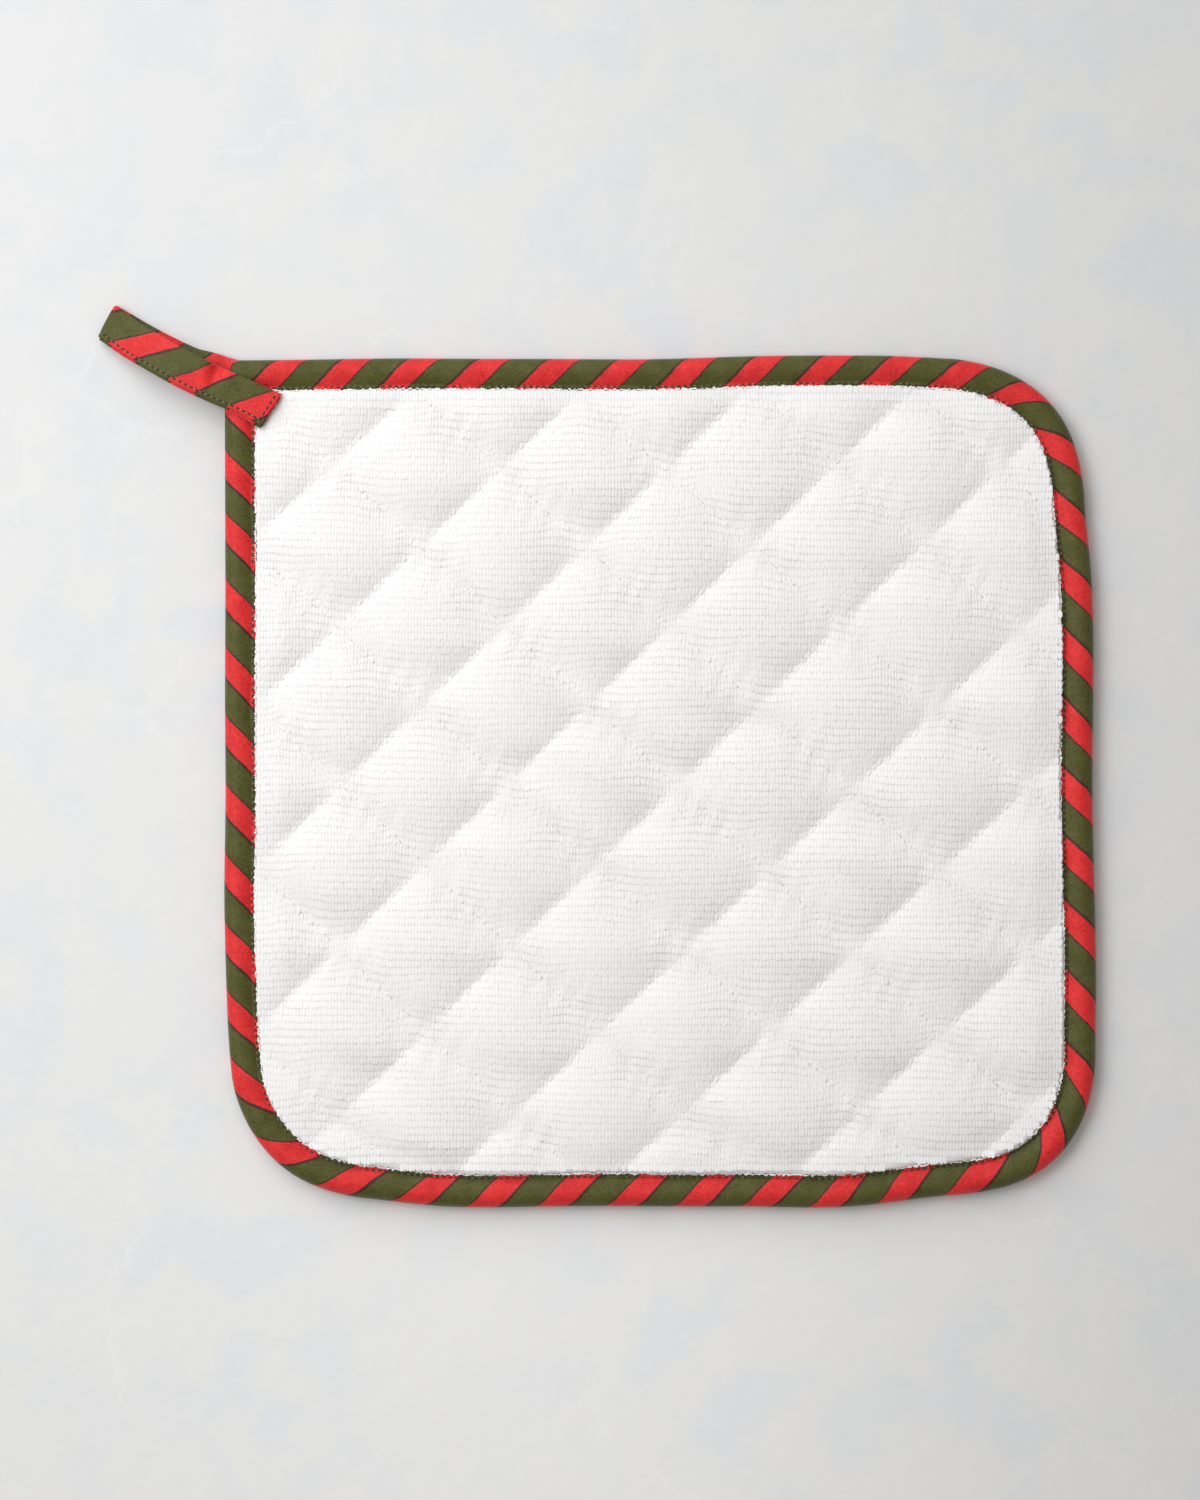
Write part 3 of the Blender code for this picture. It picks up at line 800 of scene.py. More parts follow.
# ---------------------------------------------------------------------------------------------
# The terry pad
# ---------------------------------------------------------------------------------------------
@dataclass
class TerryPad:
    """The filled square: its cloth, the loops of its pile, and its quilting stitches."""

    edge: BoundEdge
    lattice: QuiltLattice
    finish: bpy.types.Material
    pile_finish: bpy.types.Material
    cells: int = 144                       # cells of the cloth's mesh along each side
    field_inset: float = 8.5
    lap_inset: float = 7.9                 # the pile laps the tape up to here
    rise_inset: float = 17.0
    seam_top: float = 6.0
    edge_top: float = 6.1
    crown: float = 2.45
    crown_power: float = 0.83
    edge_share: float = 0.55
    waver: float = 0.16                    # height of the slow, uneven swell of the filling
    swell_waves: int = 14
    swell_sizes: tuple[tuple[float, float], ...] = ((26.0, 60.0), (13.0, 30.0))    # across and along
    swell_lean: float = 0.5
    pile: float = 0.12                     # the cloth lies this far under the tips of the loops
    back_channel: float = 1.4
    channel_reach: float = 2.6
    back_rim: float = 4.0                  # how far the back is drawn in beside the tape
    weld: float = 0.02                     # points of the skin nearer than this are one
    fill: float = 0.6                      # how firmly the pad is filled
    lip: tuple[tuple[float, float], ...] = (
        (8.35, 4.05), (2.6, 4.0), (1.7, 2.9), (2.6, 1.6), (8.35, 1.5),
    )
    tack: tuple[float, float] = (-102.5, 97.5)
    tack_reach: float = 16.0
    pucker: float = 0.085                  # height of the small folds beside the seams
    pile_bands: int = 4                    # how many pieces the loops are shared out over
    weave_half: float = 108.0              # rows and combs are counted this far out
    # A loop's half width, half length and half height, and how much those and its place vary.
    loop_half: tuple[float, float, float] = (0.56, 1.08, 0.08)
    loop_sizes: tuple[float, float] = (0.88, 1.12)
    loop_scatter: tuple[float, float] = (0.06, 0.09)
    loop_lift: tuple[float, float] = (0.04, 0.006)
    loop_turns: tuple[float, float, float] = (0.10, 0.025, 0.02)      # to the side, and two ways over
    ragged: float = 0.35                   # how unevenly the field of loops ends
    # The same for the loops along the tape, which lie in its shade.
    edge_pitch: float = 0.62               # from one loop to the next along the tape
    edge_half: tuple[float, float, float] = (0.27, 0.42, 0.16)
    edge_sizes: tuple[float, float] = (0.6, 1.3)
    edge_gap: tuple[float, float] = (0.15, 0.55)
    edge_lift: tuple[float, float] = (-0.2, 0.05)
    edge_turn: float = 0.5
    # The quilting stitches, one each pitch, sunk into the seams.
    quilting_pitch: float = 3.2
    quilting_half: tuple[float, float, float] = (0.16, 1.1, 0.07)
    quilting_sink: float = 0.02
    quilting_margin: float = 1.0           # the last one lies at least this far inside the tape
    seam_reach: float = 165.0              # how far from the middle a seam is followed
    surface: BVHTree | None = field(default=None, repr=False)

    def face_height(self, points: Points) -> Points:
        """Height of the cloth under the pile of the face."""
        inset = self.edge.depth(points, 0.0)
        rise = smooth_step(self.field_inset, self.rise_inset, inset)
        base = self.edge_top + (self.seam_top - self.edge_top) * rise
        crown = self.crown * self.lattice.crown(points, self.crown_power)
        crown *= self.edge_share + (1.0 - self.edge_share) * rise
        pressed = smooth_step(0.0, self.tack_reach, np.linalg.norm(points - self.tack, axis=1))
        return base + crown * pressed + (self.puckers(points) + self.swell(points)) * rise - self.pile

    def swell(self, points: Points) -> Points:
        """Slow unevenness of the filling, level with the rows more than across them."""
        chance = np.random.default_rng(17)
        total = np.zeros(len(points))
        for _ in range(self.swell_waves):
            across, along = (chance.uniform(*sizes) for sizes in self.swell_sizes)
            lean = chance.uniform(-self.swell_lean, self.swell_lean)
            turn = points[:, 0] / across + (points[:, 1] + lean * points[:, 0]) / along
            total += np.sin(turn * 2.0 * math.pi + chance.uniform(*PHASES))
        return self.waver * total / math.sqrt(self.swell_waves / 2.0)

    def puckers(self, points: Points) -> Points:
        """Small folds that the stitching draws into the cloth beside each seam."""
        total = np.zeros(len(points))
        for seams, wave_length, reach, strength in (
            (self.lattice.rising, 7.3, 4.0, 0.7),
            (self.lattice.falling, 8.3, 6.0, 0.8),
        ):
            square, along, number = self.lattice.distance(seams, points)
            turn = along * (2.0 * math.pi / wave_length) + 2.4 * np.sin(along * 0.19 + number * 2.7)
            turn = turn + number * 2.1
            total += strength * hump(np.abs(square) - 2.0, reach) * np.sin(turn + square * 0.35)
        return self.pucker * total

    def back_height(self, points: Points) -> Points:
        """Height of the back: flat on the ground except along the seams and beside the tape."""
        channel = np.zeros(len(points))
        for seams in (self.lattice.rising, self.lattice.falling):
            square, _, _ = self.lattice.distance(seams, points)
            channel = np.maximum(channel, hump(square, self.channel_reach))
        beside = 1.0 - smooth_step(0.0, self.back_rim, self.edge.depth(points, self.field_inset))
        return self.back_channel * np.maximum(channel, beside)

    def plan(self) -> Points:
        """A square grid drawn over the open face, eased into its rounded corners."""
        steps = np.linspace(-1.0, 1.0, self.cells + 1)
        a, b = np.meshgrid(steps, steps)
        ring = self.edge.ring(self.field_inset)
        half = np.array((np.ptp(ring[:, 0]), np.ptp(ring[:, 1]))) / 2.0
        square = np.stack((a * half[0], b * half[1]), axis=-1)
        rim = np.maximum(np.maximum(np.abs(a), np.abs(b)), 1e-6)
        border = self.edge.polar(self.field_inset, np.arctan2(square[..., 1], square[..., 0]))
        pull = np.linalg.norm(border, axis=-1) / (np.linalg.norm(square, axis=-1) / rim + 1e-9) - 1.0
        return square * (1.0 + pull * rim**5)[..., None]

    def build_cloth(self) -> bpy.types.Object:
        """The filled square as one closed skin, with a lip all round inside the tape."""
        plan = self.plan()
        flat = plan.reshape(-1, 2)
        centre = PAD_MIDDLE[None, None]
        tops = self.face_height(flat).reshape(plan.shape[:2] + (1,))
        bottoms = self.back_height(flat).reshape(plan.shape[:2] + (1,))
        bm = grid_mesh(np.concatenate((plan + centre, tops), axis=2), {})
        back = grid_mesh(np.concatenate((plan + centre, bottoms), axis=2), {})
        bmesh.ops.reverse_faces(back, faces=back.faces)

        border = [edge for edge in bm.edges if edge.is_boundary]
        for inset, height in self.lip:
            border = self.extend_border(bm, border, inset, height)
        back_mesh = bpy.data.meshes.new("back")
        back.to_mesh(back_mesh)
        back.free()
        border = self.extend_border(bm, border, self.field_inset, self.back_channel)
        bm.from_mesh(back_mesh)
        bpy.data.meshes.remove(back_mesh)
        bmesh.ops.remove_doubles(bm, verts=bm.verts, dist=self.weld)
        bmesh.ops.recalc_face_normals(bm, faces=bm.faces)
        self.surface = BVHTree.FromBMesh(bm)
        piece = make_piece("terry_pad", bm, self.finish)
        return settle(piece, ("quilted_pad",))

    def extend_border(
        self, bm: bmesh.types.BMesh, border: list[bmesh.types.BMEdge], inset: float, height: float
    ) -> list[bmesh.types.BMEdge]:
        """Extrude a border and lay it on another ring; returns the new border."""
        grown = bmesh.ops.extrude_edge_only(bm, edges=border)["geom"]
        verts = [item for item in grown if isinstance(item, bmesh.types.BMVert)]
        plan = np.array([(vert.co.x, vert.co.y) for vert in verts]) - PAD_MIDDLE
        placed = self.edge.polar(inset, np.arctan2(plan[:, 1], plan[:, 0])) + PAD_MIDDLE
        for vert, (x, y) in zip(verts, placed):
            vert.co = (x, y, height)
        return [item for item in grown if isinstance(item, bmesh.types.BMEdge)]

    def lay_on(self, points: Points) -> tuple[Points, Points]:
        """Drop points onto the cloth; returns where they land and the cloth's normals."""
        places, normals = [], []
        for x, y in points + PAD_MIDDLE:
            place, normal, _, _ = self.surface.ray_cast(Vector((x, y, ABOVE)), Vector((0.0, 0.0, -1.0)))
            if place is None:
                place, normal = Vector((x, y, self.edge_top - self.pile)), Vector((0.0, 0.0, 1.0))
            places.append(place)
            normals.append(normal)
        return np.array(places), np.array(normals)

    def drift(self, points: Points) -> Points:
        """How far the weave is drawn out of line beside the seams."""
        shift = np.zeros_like(points)
        square, along, number = self.lattice.distance(self.lattice.falling, points)
        near = hump(square, 7.0)
        shift[:, 1] += 1.1 * near * np.sin(along * (2.0 * math.pi / 21.0) + number * 1.7)
        shift[:, 1] += 0.5 * np.sin(points[:, 0] * 0.045 + points[:, 1] * 0.02)
        square, along, number = self.lattice.distance(self.lattice.rising, points)
        shift[:, 0] += 0.25 * hump(square, 4.0) * np.sin(along * 0.5 + number)
        inside = smooth_step(0.0, 7.0, self.edge.depth(points, self.field_inset))
        return shift * inside[:, None]

    def build_pile(self) -> list[bpy.types.Object]:
        """The loops of the face, row by row, in bands of like size."""
        chance = np.random.default_rng(11)
        combs = np.arange(-self.weave_half, self.weave_half, COMB_PITCH)
        rows = np.arange(-self.weave_half, self.weave_half, ROW_PITCH)
        x, y = np.meshgrid(combs, rows)
        weave = np.stack((x.reshape(-1), y.reshape(-1)), axis=1)
        points = weave + self.drift(weave) + chance.normal(0.0, self.loop_scatter, weave.shape)
        room = self.edge.room(points, self.lap_inset, (COMB_PITCH * 0.5, ROW_PITCH * 0.5))
        points = points[room > chance.uniform(0.0, self.ragged, len(points))]
        places, normals = self.lay_on(points)
        count = len(points)

        size = chance.uniform(*self.loop_sizes, (count, 3)) * self.loop_half
        yaw, roll, pitch = (chance.normal(0.0, turn, count) for turn in self.loop_turns)
        ahead = np.stack((np.sin(yaw), np.cos(yaw), np.zeros(count)), axis=1)
        up = unit(normals + np.stack((roll, pitch, np.zeros(count)), axis=1))
        side = unit(np.cross(ahead, up))
        frames = lump_axes(size, side, np.cross(up, side), up)
        centres = places + up * chance.normal(*self.loop_lift, (count, 1))
        bead = Bead(faceted=True)
        pieces = [self.build_edge_loops(bead)]
        for band, part in enumerate(np.array_split(np.arange(count), self.pile_bands)):
            piece = bead.spread(f"terry_loops_{band + 1}", centres[part], frames[part], self.pile_finish)
            pieces.append(settle(piece))
        return pieces

    def build_edge_loops(self, bead: Bead) -> bpy.types.Object:
        """The last loops of the pile, pressed in a ragged line along the tape."""
        chance = np.random.default_rng(29)
        ring = closed(self.edge.ring(self.lap_inset))
        lengths = running_length(ring)
        xy = at_lengths(np.arange(0.0, lengths[-1], self.edge_pitch), lengths, ring)
        ahead = way_on(xy)
        inward = left_of(ahead)
        count = len(xy)
        xy = xy + inward * chance.uniform(*self.edge_gap, (count, 1))
        ahead = unit(ahead + inward * chance.normal(0.0, self.edge_turn, (count, 1)))
        size = chance.uniform(*self.edge_sizes, (count, 3)) * self.edge_half
        frames = lump_axes(size, with_height(left_of(ahead), 0.0), with_height(ahead, 0.0), UP)
        centres = with_height(xy + PAD_MIDDLE, self.edge_top + chance.normal(*self.edge_lift, (count, 1)))
        return settle(bead.spread("terry_loops_edge", centres, frames, self.pile_finish))

    def build_quilting(self, thread: bpy.types.Material) -> bpy.types.Object:
        """White stitches sunk in the quilting lines."""
        starts = []
        for seams in (self.lattice.rising, self.lattice.falling):
            for seam in seams:
                step = np.array((1.0, seam.slope)) / math.hypot(1.0, seam.slope)
                for place in np.arange(-self.seam_reach, self.seam_reach, self.quilting_pitch):
                    starts.append((step * place + (0.0, seam.crossing), step))
        points = np.array([start for start, _ in starts])
        steps = np.array([step for _, step in starts])
        keep = self.edge.depth(points, self.field_inset) > self.quilting_margin
        points, steps = points[keep], steps[keep]
        places, normals = self.lay_on(points)
        ahead = unit(with_height(steps, 0.0))
        frames = lump_axes(self.quilting_half, unit(np.cross(ahead, normals)), ahead, normals)
        places = places - normals * self.quilting_sink
        piece = Bead(arch=0.4).spread("quilting_stitches", places, frames, thread)
        return settle(piece)


# ---------------------------------------------------------------------------------------------
# The tape round the edge
# ---------------------------------------------------------------------------------------------
class Mark(NamedTuple):
    """How many stripes have gone by at a distance round the tape."""

    length: float
    count: float


@dataclass
class EdgeTape:
    """The striped bias tape, folded over the edge with its own edges turned in, and sewn."""

    edge: BoundEdge
    finish: bpy.types.Material
    thickness: float = 0.4
    # A section through it: inset and height, from the turned-in edge on the face, round the pad's
    # edge, to the turned-in edge on the back.
    section: tuple[tuple[float, float], ...] = (
        (5.2, 4.62), (6.2, 4.56), (7.1, 4.44), (7.7, 4.50), (8.0, 4.68), (8.02, 4.98), (7.72, 5.18),
        (7.38, 5.08), (7.05, 4.90), (6.7, 5.10), (6.1, 5.50), (5.3, 5.95), (4.4, 6.26),
        (3.4, 6.42), (2.4, 6.28),
        (1.5, 5.76), (0.75, 4.95), (0.28, 3.9), (0.2, 3.0), (0.42, 2.1), (0.95, 1.25), (1.7, 0.62),
        (2.7, 0.28), (4.0, 0.2), (5.6, 0.2), (6.5, 0.26), (7.05, 0.5), (7.5, 0.38), (7.9, 0.42),
        (8.05, 0.62), (7.8, 0.85), (7.0, 0.95), (6.0, 0.98), (5.0, 1.0),
    )
    mark_inset: float = 4.5                # the ring along which the stripes are counted
    marks: tuple[Mark, ...] = (
        Mark(8.0, 0), Mark(25.2, 1), Mark(41.2, 2), Mark(94.5, 5), Mark(148.9, 8),
        Mark(183.8, 10), Mark(204.0, 11), Mark(221.4, 12), Mark(241.9, 13), Mark(296.9, 16),
        Mark(349.6, 19), Mark(366.7, 20), Mark(384.8, 21), Mark(407.7, 22), Mark(463.9, 25),
        Mark(516.4, 28), Mark(571.6, 31), Mark(589.5, 32), Mark(608.7, 33), Mark(623.9, 34),
        Mark(677.2, 37), Mark(731.3, 40), Mark(768.1, 42), Mark(802.6, 44), Mark(820.8, 45),
    )
    hidden_stations: int = 5               # the top side's stripes end this far past the loop's corner
    weld: float = 0.0005                   # points of the sheet nearer than this are one
    width_waver: float = 0.16              # how far the inner edge wanders, and the height of the tape
    lift_waver: float = 0.10
    ripple: float = 0.07
    stitch_inset: float = 7.35
    stitch_pitch: float = 1.68
    stitch_half: float = 0.2               # half the thickness of a stitch
    stitch_turn: float = 0.06
    stitch_bead: Bead = Bead(rings=5, arch=0.7)
    # The rows of stitches: their heights, and which way is out of the tape there.
    stitch_rows: tuple[tuple[float, float], ...] = ((5.20, 1.0), (0.26, -1.0))

    def stripe_counts(self, ring: Points) -> Points:
        """How many stripes have gone by at each station of a ring, its first one repeated last.

        A station counts at the place where it lies square to the ring of the marks.
        """
        lengths = self.edge.lengths(self.mark_inset)
        total = lengths[-1]
        marked = self.edge.ring(self.mark_inset)
        along = way_on(marked)
        near = self.edge.nearest(ring, marked)
        turned = self.edge.arc_stations[0]
        place = np.arange(len(ring))
        on_top = (place <= turned + self.hidden_stations) | ((near <= turned) & (place > len(ring) // 2))
        near = np.where(on_top, len(ring) - 1, np.where(near <= turned, turned + 1, near))
        walked = lengths[near] + np.sum((ring - marked[near]) * along[near], axis=1)
        walked = np.where(walked - place * total / len(ring) > total / 2.0, walked - total, walked)
        walked = np.append(walked, walked[0] + total)
        table = np.array(self.marks)
        turn = (total, table[-1, 1] - table[0, 1])
        around = np.concatenate((table[:-1] - turn, table[:-1], table[:-1] + turn))
        return np.interp(walked, around[:, 0], around[:, 1])

    def wander(self, lengths: Points, seed: int, waves: Sequence[int]) -> Points:
        """A gentle waver from about -1 to 1 that closes on itself round the edge."""
        chance = np.random.default_rng(seed)
        turn = lengths / lengths[-1] * 2.0 * math.pi
        total = np.zeros(len(lengths))
        for wave in waves:
            total += np.sin(turn * wave + chance.uniform(*PHASES))
        return total / math.sqrt(len(waves))

    def build_tape(self) -> bpy.types.Object:
        """The tape as one folded sheet."""
        path = np.array(self.section)
        across = running_length(path)
        mark_across = across[np.argmin(np.abs(path[:, 0] - self.mark_inset) + 10.0 * (path[:, 1] < 5.5))]
        lengths = self.edge.lengths(self.mark_inset)
        width = self.wander(lengths, 3, (7, 13, 19, 31, 43)) * self.width_waver
        lift = self.wander(lengths, 5, (23, 37, 61, 83, 97)) * self.lift_waver
        ripple = self.wander(lengths, 8, (97, 131, 163, 181)) * self.ripple

        places = np.empty((len(path), len(lengths), 3))
        counts = np.empty(places.shape[:2])
        for row, (inset, height) in enumerate(path):
            ring = self.edge.ring(inset)
            counts[row] = self.stripe_counts(ring)
            out = self.edge.outward(ring)
            ring, out = closed(ring), closed(out)
            inner = smooth_step(2.0, 8.0, inset)
            upper = smooth_step(2.0, 5.0, height)
            places[row, :, :2] = ring - out * (width * inner)[:, None] + PAD_MIDDLE
            places[row, :, 2] = height + upper * (lift + ripple * (0.3 + 0.7 * inner))
        maps = {
            "stripe": map_table(counts * STRIPE_PERIOD, across - mark_across),
            "cloth": map_table(lengths[None], across),
        }
        bm = grid_mesh(places, maps)
        bmesh.ops.remove_doubles(bm, verts=bm.verts, dist=self.weld)
        face_out(bm, Vector((*PAD_MIDDLE, ABOVE)))
        piece = make_piece("striped_binding", bm, self.finish)
        thicken(piece, self.thickness)
        return settle(piece, ("edge_binding",))

    def build_stitches(self, thread: bpy.types.Material) -> bpy.types.Object:
        """The two rows of stitches that hold the tape, on its face and on its back."""
        lengths = self.edge.lengths(self.stitch_inset)
        count = round(lengths[-1] / self.stitch_pitch)
        spots = (np.arange(count) + 0.5) * lengths[-1] / count
        ring = closed(self.edge.ring(self.stitch_inset)) + PAD_MIDDLE
        xy = at_lengths(spots, lengths, ring)
        ahead = way_on(xy)
        chance = np.random.default_rng(21)
        half = (self.stitch_half, self.stitch_pitch * 0.5, self.stitch_half)
        centres, frames = [], []
        for height, up in self.stitch_rows:
            turn = chance.normal(0.0, self.stitch_turn, (count, 1))
            forward = with_height(ahead + left_of(ahead) * turn, 0.0)
            centres.append(with_height(xy, height))
            frames.append(lump_axes(half, np.cross(forward, UP * up), forward, UP * up))
        centres, frames = np.concatenate(centres), np.concatenate(frames)
        piece = self.stitch_bead.spread("binding_stitches", centres, frames, thread)
        return settle(piece)


def thicken(piece: bpy.types.Object, thickness: float) -> None:
    """Give a sheet its thickness, half to each side."""
    wall = piece.modifiers.new("wall", "SOLIDIFY")
    wall.thickness = thickness * MM
    wall.offset = 0.0


# ---------------------------------------------------------------------------------------------
# The hanging loop
# ---------------------------------------------------------------------------------------------
class Station(NamedTuple):
    """A section of the strip: its middle, the way out to the tip seen from above, and its width."""

    x: float
    y: float
    z: float
    heading: float
    width: float


class Fray(NamedTuple):
    """Yarns of one colour that stand out of the raw end: from where to where, and how many."""

    tone: str
    sides: tuple[float, float]
    count: int
    colour: Colour
    ends: Colour


@dataclass
class HangingLoop:
    """The tape's tail, pressed flat: out from the corner, folded at the tip, and sewn down."""

    finish: bpy.types.Material
    thickness: float = 0.27
    lower_arm: tuple[Station, ...] = (
        Station(-108.6, 106.2, 2.9, 177.0, 7.6),
        Station(-111.4, 106.65, 3.0, 173.0, 7.9),
        Station(-114.2, 107.2, 3.0, 169.5, 8.4),
        Station(-117.2, 108.0, 2.5, 166.5, 8.8),
        Station(-120.2, 108.8, 1.4, 163.5, 8.9),
        Station(-124.0, 110.0, 0.82, 159.0, 8.9),
        Station(-134.0, 114.9, 0.72, 154.0, 8.9),
        Station(-144.2, 120.6, 0.72, 152.5, 9.3),
    )
    upper_arm: tuple[Station, ...] = (
        Station(-143.9, 120.3, 2.4, 152.0, 9.3),
        Station(-138.0, 115.9, 4.4, 149.5, 8.9),
        Station(-131.8, 112.2, 6.7, 150.0, 8.9),
        Station(-125.0, 108.3, 8.1, 152.0, 8.9),
        Station(-117.2, 104.5, 8.4, 154.5, 8.9),
        Station(-108.6, 100.7, 7.8, 154.0, 8.9),
        Station(-101.5, 97.1, 7.3, 147.0, 9.8),
    )
    # Where the arms are pinched: the crease's middle, its bearing, how deep, how long and wide.
    pinch: tuple[float, float] = (-115.6, 107.7)
    pinch_bearing: float = 71.0
    pinch_depth: float = 2.3
    pinch_reach: tuple[float, float] = (4.0, 1.6)
    back_pinch: float = 0.3                # the back arm's share of the depth
    tip_steps: int = 12
    arm_steps: int = 10
    full_width: float = 8.9
    # A section through it: across the strip towards its sewn side, and through it.
    section: tuple[tuple[float, float], ...] = (
        (1.6, 0.16), (3.0, 0.15), (4.4, 0.15), (4.85, 0.2), (5.0, 0.32), (4.8, 0.43), (4.3, 0.46),
        (3.5, 0.36), (3.0, 0.46), (1.8, 0.52), (0.0, 0.54), (-1.8, 0.52), (-3.2, 0.44), (-4.1, 0.27),
        (-4.4, 0.0), (-4.1, -0.27), (-3.2, -0.44), (-1.8, -0.52), (0.0, -0.54), (1.8, -0.52),
        (3.0, -0.46), (3.5, -0.36), (3.9, -0.46), (4.25, -0.43), (4.42, -0.32), (4.3, -0.2),
        (3.95, -0.15), (3.0, -0.15), (1.6, -0.16),
    )
    red_from_tip: float = 8.4              # where the first red stripe after the tip begins
    lower_ease: float = 1.10               # the stripes of the lower arm are this much closer
    # How far the front arm's stripes have slipped towards its end, by the distance from that end.
    slips: tuple[tuple[float, float], ...] = (
        (0.0, 0.7), (6.3, 0.85), (15.9, 0.7), (22.6, 2.4), (32.6, 1.5), (39.4, 1.2), (50.0, 0.0),
    )
    stitch_pitch: float = 1.65
    stitch_side: float = 3.6               # from the strip's middle to its row of stitches
    stitch_lift: float = 0.6
    stitch_half: tuple[float, float] = (0.19, 0.2)     # its width and its height
    stitch_bead: Bead = Bead(rings=6, arch=0.7)
    end_inset: float = 1.15                # from the raw end to the row of stitches across it
    end_sides: tuple[float, float] = (-4.1, 4.7)
    raggedness: float = 0.16               # how unevenly the raw end is cut
    frays: tuple[Fray, ...] = (
        Fray("red", (-4.3, 3.4), 70, (0.56, 0.02, 0.02), (0.5, 0.03, 0.03)),
        Fray("dark", (1.8, 4.9), 44, (0.03, 0.035, 0.012), (0.10, 0.10, 0.035)),
    )
    yarn_half: float = 0.09
    yarn_reach: tuple[float, float] = (0.22, 0.5)
    yarn_depths: tuple[float, float] = (-0.5, 0.45)
    yarn_turn: float = 0.55
    yarn_lift: float = 0.15
    yarn_start: float = 0.05               # from the raw end to the middle of a yarn

    def stations(self) -> tuple[Points, int]:
        """All sections from the root to the sewn end, and the number of the one at the tip."""
        lower = curve_through(self.lower_arm, self.arm_steps)
        upper = curve_through(self.upper_arm, self.arm_steps)
        low, high = lower[-1], upper[0]
        reach = (high[2] - low[2]) / 2.0
        heading = math.radians(low[3])
        tip = []
        for step in range(1, self.tip_steps):
            share = step / self.tip_steps
            angle = math.pi * share
            row = low + (high - low) * share
            row[0] += math.cos(heading) * reach * math.sin(angle)
            row[1] += math.sin(heading) * reach * math.sin(angle)
            row[2] = low[2] + reach * (1.0 - math.cos(angle))
            tip.append(row)
        return np.concatenate((lower, np.array(tip), upper)), len(lower) + self.tip_steps // 2

    def frames(self) -> tuple[Points, Points, Points, Points, int]:
        """Middles, the way across, the way through, widths, and the number of the tip."""
        rows, tip = self.stations()
        middles = rows[:, :3]
        heading = np.radians(rows[:, 3])
        across = np.stack((-np.sin(heading), np.cos(heading), np.zeros(len(rows))), axis=1)
        along = np.empty_like(middles)
        along[1:-1] = middles[2:] - middles[:-2]
        along[0], along[-1] = middles[1] - middles[0], middles[-1] - middles[-2]
        return middles, across, unit(np.cross(along, across)), rows[:, 4], tip

    def pinched(self, points: Points) -> Points:
        """How far the crease of the pinch draws the loop down at points."""
        bearing = math.radians(self.pinch_bearing)
        away = points - self.pinch
        along = away @ (math.cos(bearing), math.sin(bearing))
        square = away @ (-math.sin(bearing), math.cos(bearing))
        return self.pinch_depth * hump(along, self.pinch_reach[0]) * hump(square, self.pinch_reach[1])

    def build_strip(self) -> bpy.types.Object:
        """The strip as one folded sheet."""
        middles, across, through, widths, tip = self.frames()
        path = curve_through(self.section, 2)
        spread = running_length(path)
        zero = spread[len(spread) // 2] + self.full_width / 2.0
        travel = running_length(middles)
        past = travel - travel[tip]
        slips = np.array(self.slips)
        slip = np.interp(travel[-1] - travel, slips[:, 0], slips[:, 1])
        stripes = np.where(past < 0.0, past * self.lower_ease, past - slip) - self.red_from_tip
        cut = np.random.default_rng(41).normal(0.0, self.raggedness, len(path))
        out = unit(middles[-1] - middles[-2])
        share = np.where(past < 0.0, self.back_pinch, 1.0)
        places = np.empty((len(path), len(middles), 3))
        for row, (side, depth) in enumerate(path):
            shift = across * (side * widths / self.full_width)[:, None] + through * depth
            places[row] = middles + shift
            places[row, :, 2] -= self.pinched(places[row, :, :2]) * share
            places[row, -1] += out * cut[row]
            places[row, :, :2] += PAD_MIDDLE
        maps = {
            "stripe": map_table(stripes[None], spread - zero),
            "cloth": map_table(travel[None], spread),
        }
        bm = grid_mesh(places, maps)
        face_out(bm, Vector((*(middles[tip, :2] + PAD_MIDDLE), ABOVE)))
        piece = make_piece("loop_strip", bm, self.finish)
        thicken(piece, self.thickness)
        return settle(piece, ("hanging_loop",))

    def build_stitches(self, thread: bpy.types.Material) -> bpy.types.Object:
        """Stitches along the strip's open side and across its sewn end."""
        middles, across, through, _, tip = self.frames()
        half = (self.stitch_half[0], self.stitch_pitch * 0.5, self.stitch_half[1])
        side_line = middles + across * self.stitch_side
        low, high = self.end_sides
        end = middles[-1] - unit(middles[-1] - middles[-2]) * self.end_inset
        lines = (
            (side_line[tip + 2:], -through[tip + 2:]),
            (side_line[: tip - 1], through[: tip - 1]),
            (end + across[-1] * np.linspace(low, high, 9)[:, None], np.tile(-through[-1], (9, 1))),
        )
        centres, frames = [], []
        for line, normals in lines:
            travel = running_length(line)
            spots = np.arange(self.stitch_pitch / 2.0, travel[-1] - 0.4, self.stitch_pitch)
            points = at_lengths(spots, travel, line)
            points[:, 2] -= self.pinched(points[:, :2])
            ups = unit(at_lengths(spots, travel, normals))
            ahead = unit(np.gradient(points, axis=0))
            centres.append(points + ups * self.stitch_lift)
            frames.append(lump_axes(half, np.cross(ahead, ups), ahead, ups))
        centres, frames = np.concatenate(centres), np.concatenate(frames)
        centres[:, :2] += PAD_MIDDLE
        piece = self.stitch_bead.spread("loop_stitches", centres, frames, thread)
        return settle(piece)

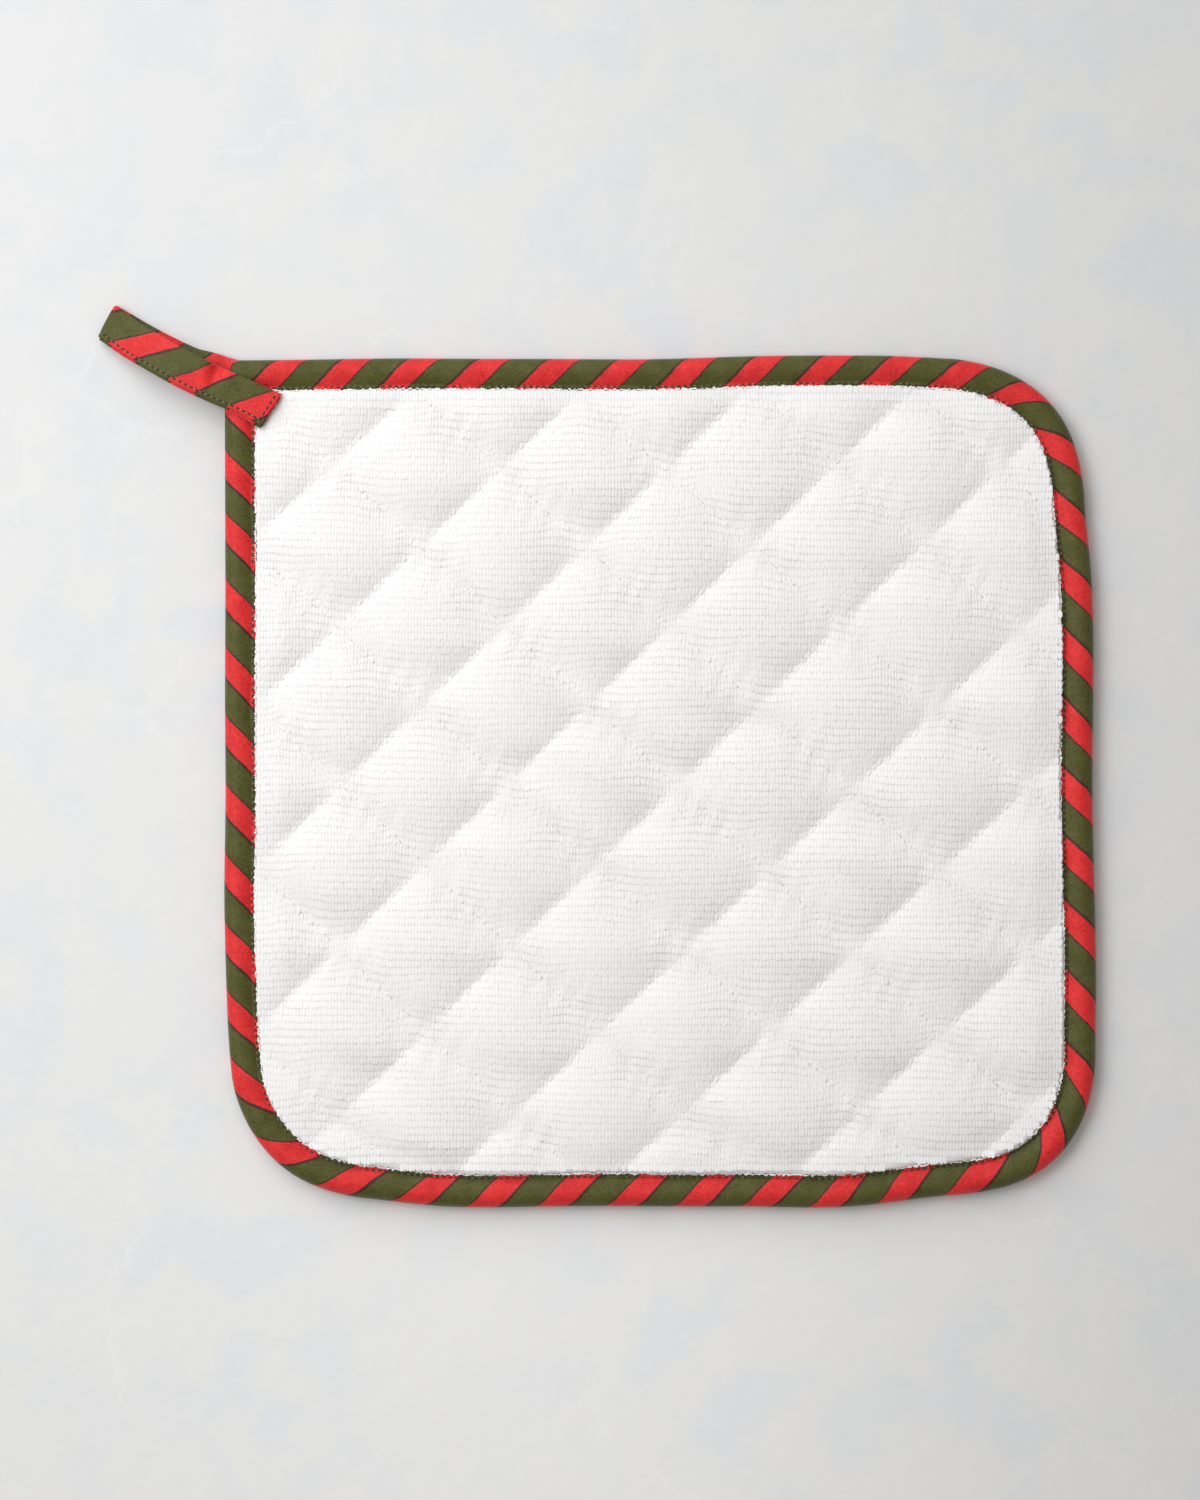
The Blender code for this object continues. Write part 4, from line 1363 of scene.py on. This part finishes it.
    def build_fray(self, fray: Fray) -> bpy.types.Object:
        """Short yarns of one colour that stand out of the raw end."""
        chance = np.random.default_rng(fray.count)
        middles, across, through, _, _ = self.frames()
        out = unit(middles[-1] - middles[-2])
        size = (fray.count, 1)
        side, depth = chance.uniform(*fray.sides, size), chance.uniform(*self.yarn_depths, size)
        turn, lift = chance.normal(0.0, self.yarn_turn, size), chance.normal(0.0, self.yarn_lift, size)
        ahead = unit(out + across[-1] * turn + through[-1] * lift)
        wide = unit(np.cross(ahead, through[-1]))
        half = np.full((fray.count, 3), self.yarn_half)
        half[:, 1:2] = chance.uniform(*self.yarn_reach, size)
        centres = middles[-1] + across[-1] * side + through[-1] * depth + out * self.yarn_start
        centres[:, :2] += PAD_MIDDLE
        yarn = ThreadFinish(f"{fray.tone}_yarn", fray.colour, fray.ends).material()
        frames = lump_axes(half, wide, ahead, np.cross(wide, ahead))
        piece = Bead().spread(f"loop_fray_{fray.tone}", centres, frames, yarn)
        return settle(piece)


# ---------------------------------------------------------------------------------------------
# The studio
# ---------------------------------------------------------------------------------------------
class Lamp(NamedTuple):
    """A square soft source that looks at the origin: its place, its side, its power and its tint."""

    name: str
    place: tuple[float, float, float]
    size: float
    power: float
    tint: Colour = (0.972, 1.0, 1.030)


@dataclass
class Studio:
    """The floor, the soft light from the upper left, and the camera straight above."""

    view_middle: tuple[float, float] = (0.75, 1.91)
    view_height: float = 392.4             # what the frame takes in, from bottom to top
    camera_height: float = 1000.0
    sensor: float = 36.0
    focus_height: float = 5.0
    lamps: tuple[Lamp, ...] = (
        Lamp("window", (-446.0, 772.0, 765.0), 1000.0, 9.4),
        Lamp("reflector", (-417.0, 74.0, 678.0), 400.0, 2.6),
    )
    floor_half: float = 2500.0
    fill: float = 0.44
    fill_tint: Colour = (1.05, 1.0, 0.945)

    def build_floor(self, finish: bpy.types.Material) -> bpy.types.Object:
        """A wide plane under the holder."""
        bm = bmesh.new()
        bmesh.ops.create_grid(bm, x_segments=4, y_segments=4, size=self.floor_half)
        floor = make_piece("floor", bm, finish)
        return floor

    def build_lights(self) -> None:
        """The large soft sources, and an even fill from all round."""
        for lamp in self.lamps:
            light = bpy.data.lights.new(lamp.name, "AREA")
            light.shape = "SQUARE"
            light.size = lamp.size * MM
            light.energy = lamp.power
            light.color = lamp.tint
            holder = bpy.data.objects.new(lamp.name, light)
            holder.location = Vector(lamp.place) * MM
            holder.rotation_euler = (-Vector(lamp.place)).to_track_quat("-Z", "Y").to_euler()
            bpy.context.scene.collection.objects.link(holder)
        world = bpy.data.worlds.new("room")
        world.use_nodes = True
        background = world.node_tree.nodes["Background"].inputs
        background["Color"].default_value = (*self.fill_tint, 1.0)
        background["Strength"].default_value = self.fill
        bpy.context.scene.world = world

    def build_camera(self) -> None:
        """The camera, which looks straight down."""
        data = bpy.data.cameras.new("camera")
        data.sensor_width = self.sensor
        data.lens = self.sensor * self.camera_height / self.view_height
        camera = bpy.data.objects.new("camera", data)
        height = self.camera_height + self.focus_height
        camera.location = Vector((*self.view_middle, height)) * MM
        bpy.context.scene.collection.objects.link(camera)
        bpy.context.scene.camera = camera
        bpy.context.scene.view_settings.view_transform = "Standard"


def main() -> None:
    """Build the studio and every piece."""
    logging.basicConfig(level=logging.INFO, format="%(name)s %(message)s")
    studio = Studio()
    studio.build_floor(FloorFinish().material())
    studio.build_lights()
    studio.build_camera()

    edge = BoundEdge()
    tape_cloth = StripedTapeFinish().material()
    terry = TerryFinish()
    pad = TerryPad(edge, QuiltLattice(), terry.cloth(), terry.loops())
    pad.build_cloth()
    pad.build_pile()
    # The white thread's darker ends are painted shade where each stitch dips into the seam.
    pad.build_quilting(ThreadFinish("white_thread", (0.80, 0.785, 0.775), (0.72, 0.70, 0.69)).material())

    sewing = ThreadFinish("dark_thread", (0.030, 0.022, 0.012), (0.46, 0.36, 0.17), 0.62).material()
    tape = EdgeTape(edge, tape_cloth)
    tape.build_tape()
    tape.build_stitches(sewing)

    loop = HangingLoop(tape_cloth)
    loop.build_strip()
    loop.build_stitches(sewing)
    for fray in loop.frays:
        loop.build_fray(fray)


if __name__ == "__main__":
    main()
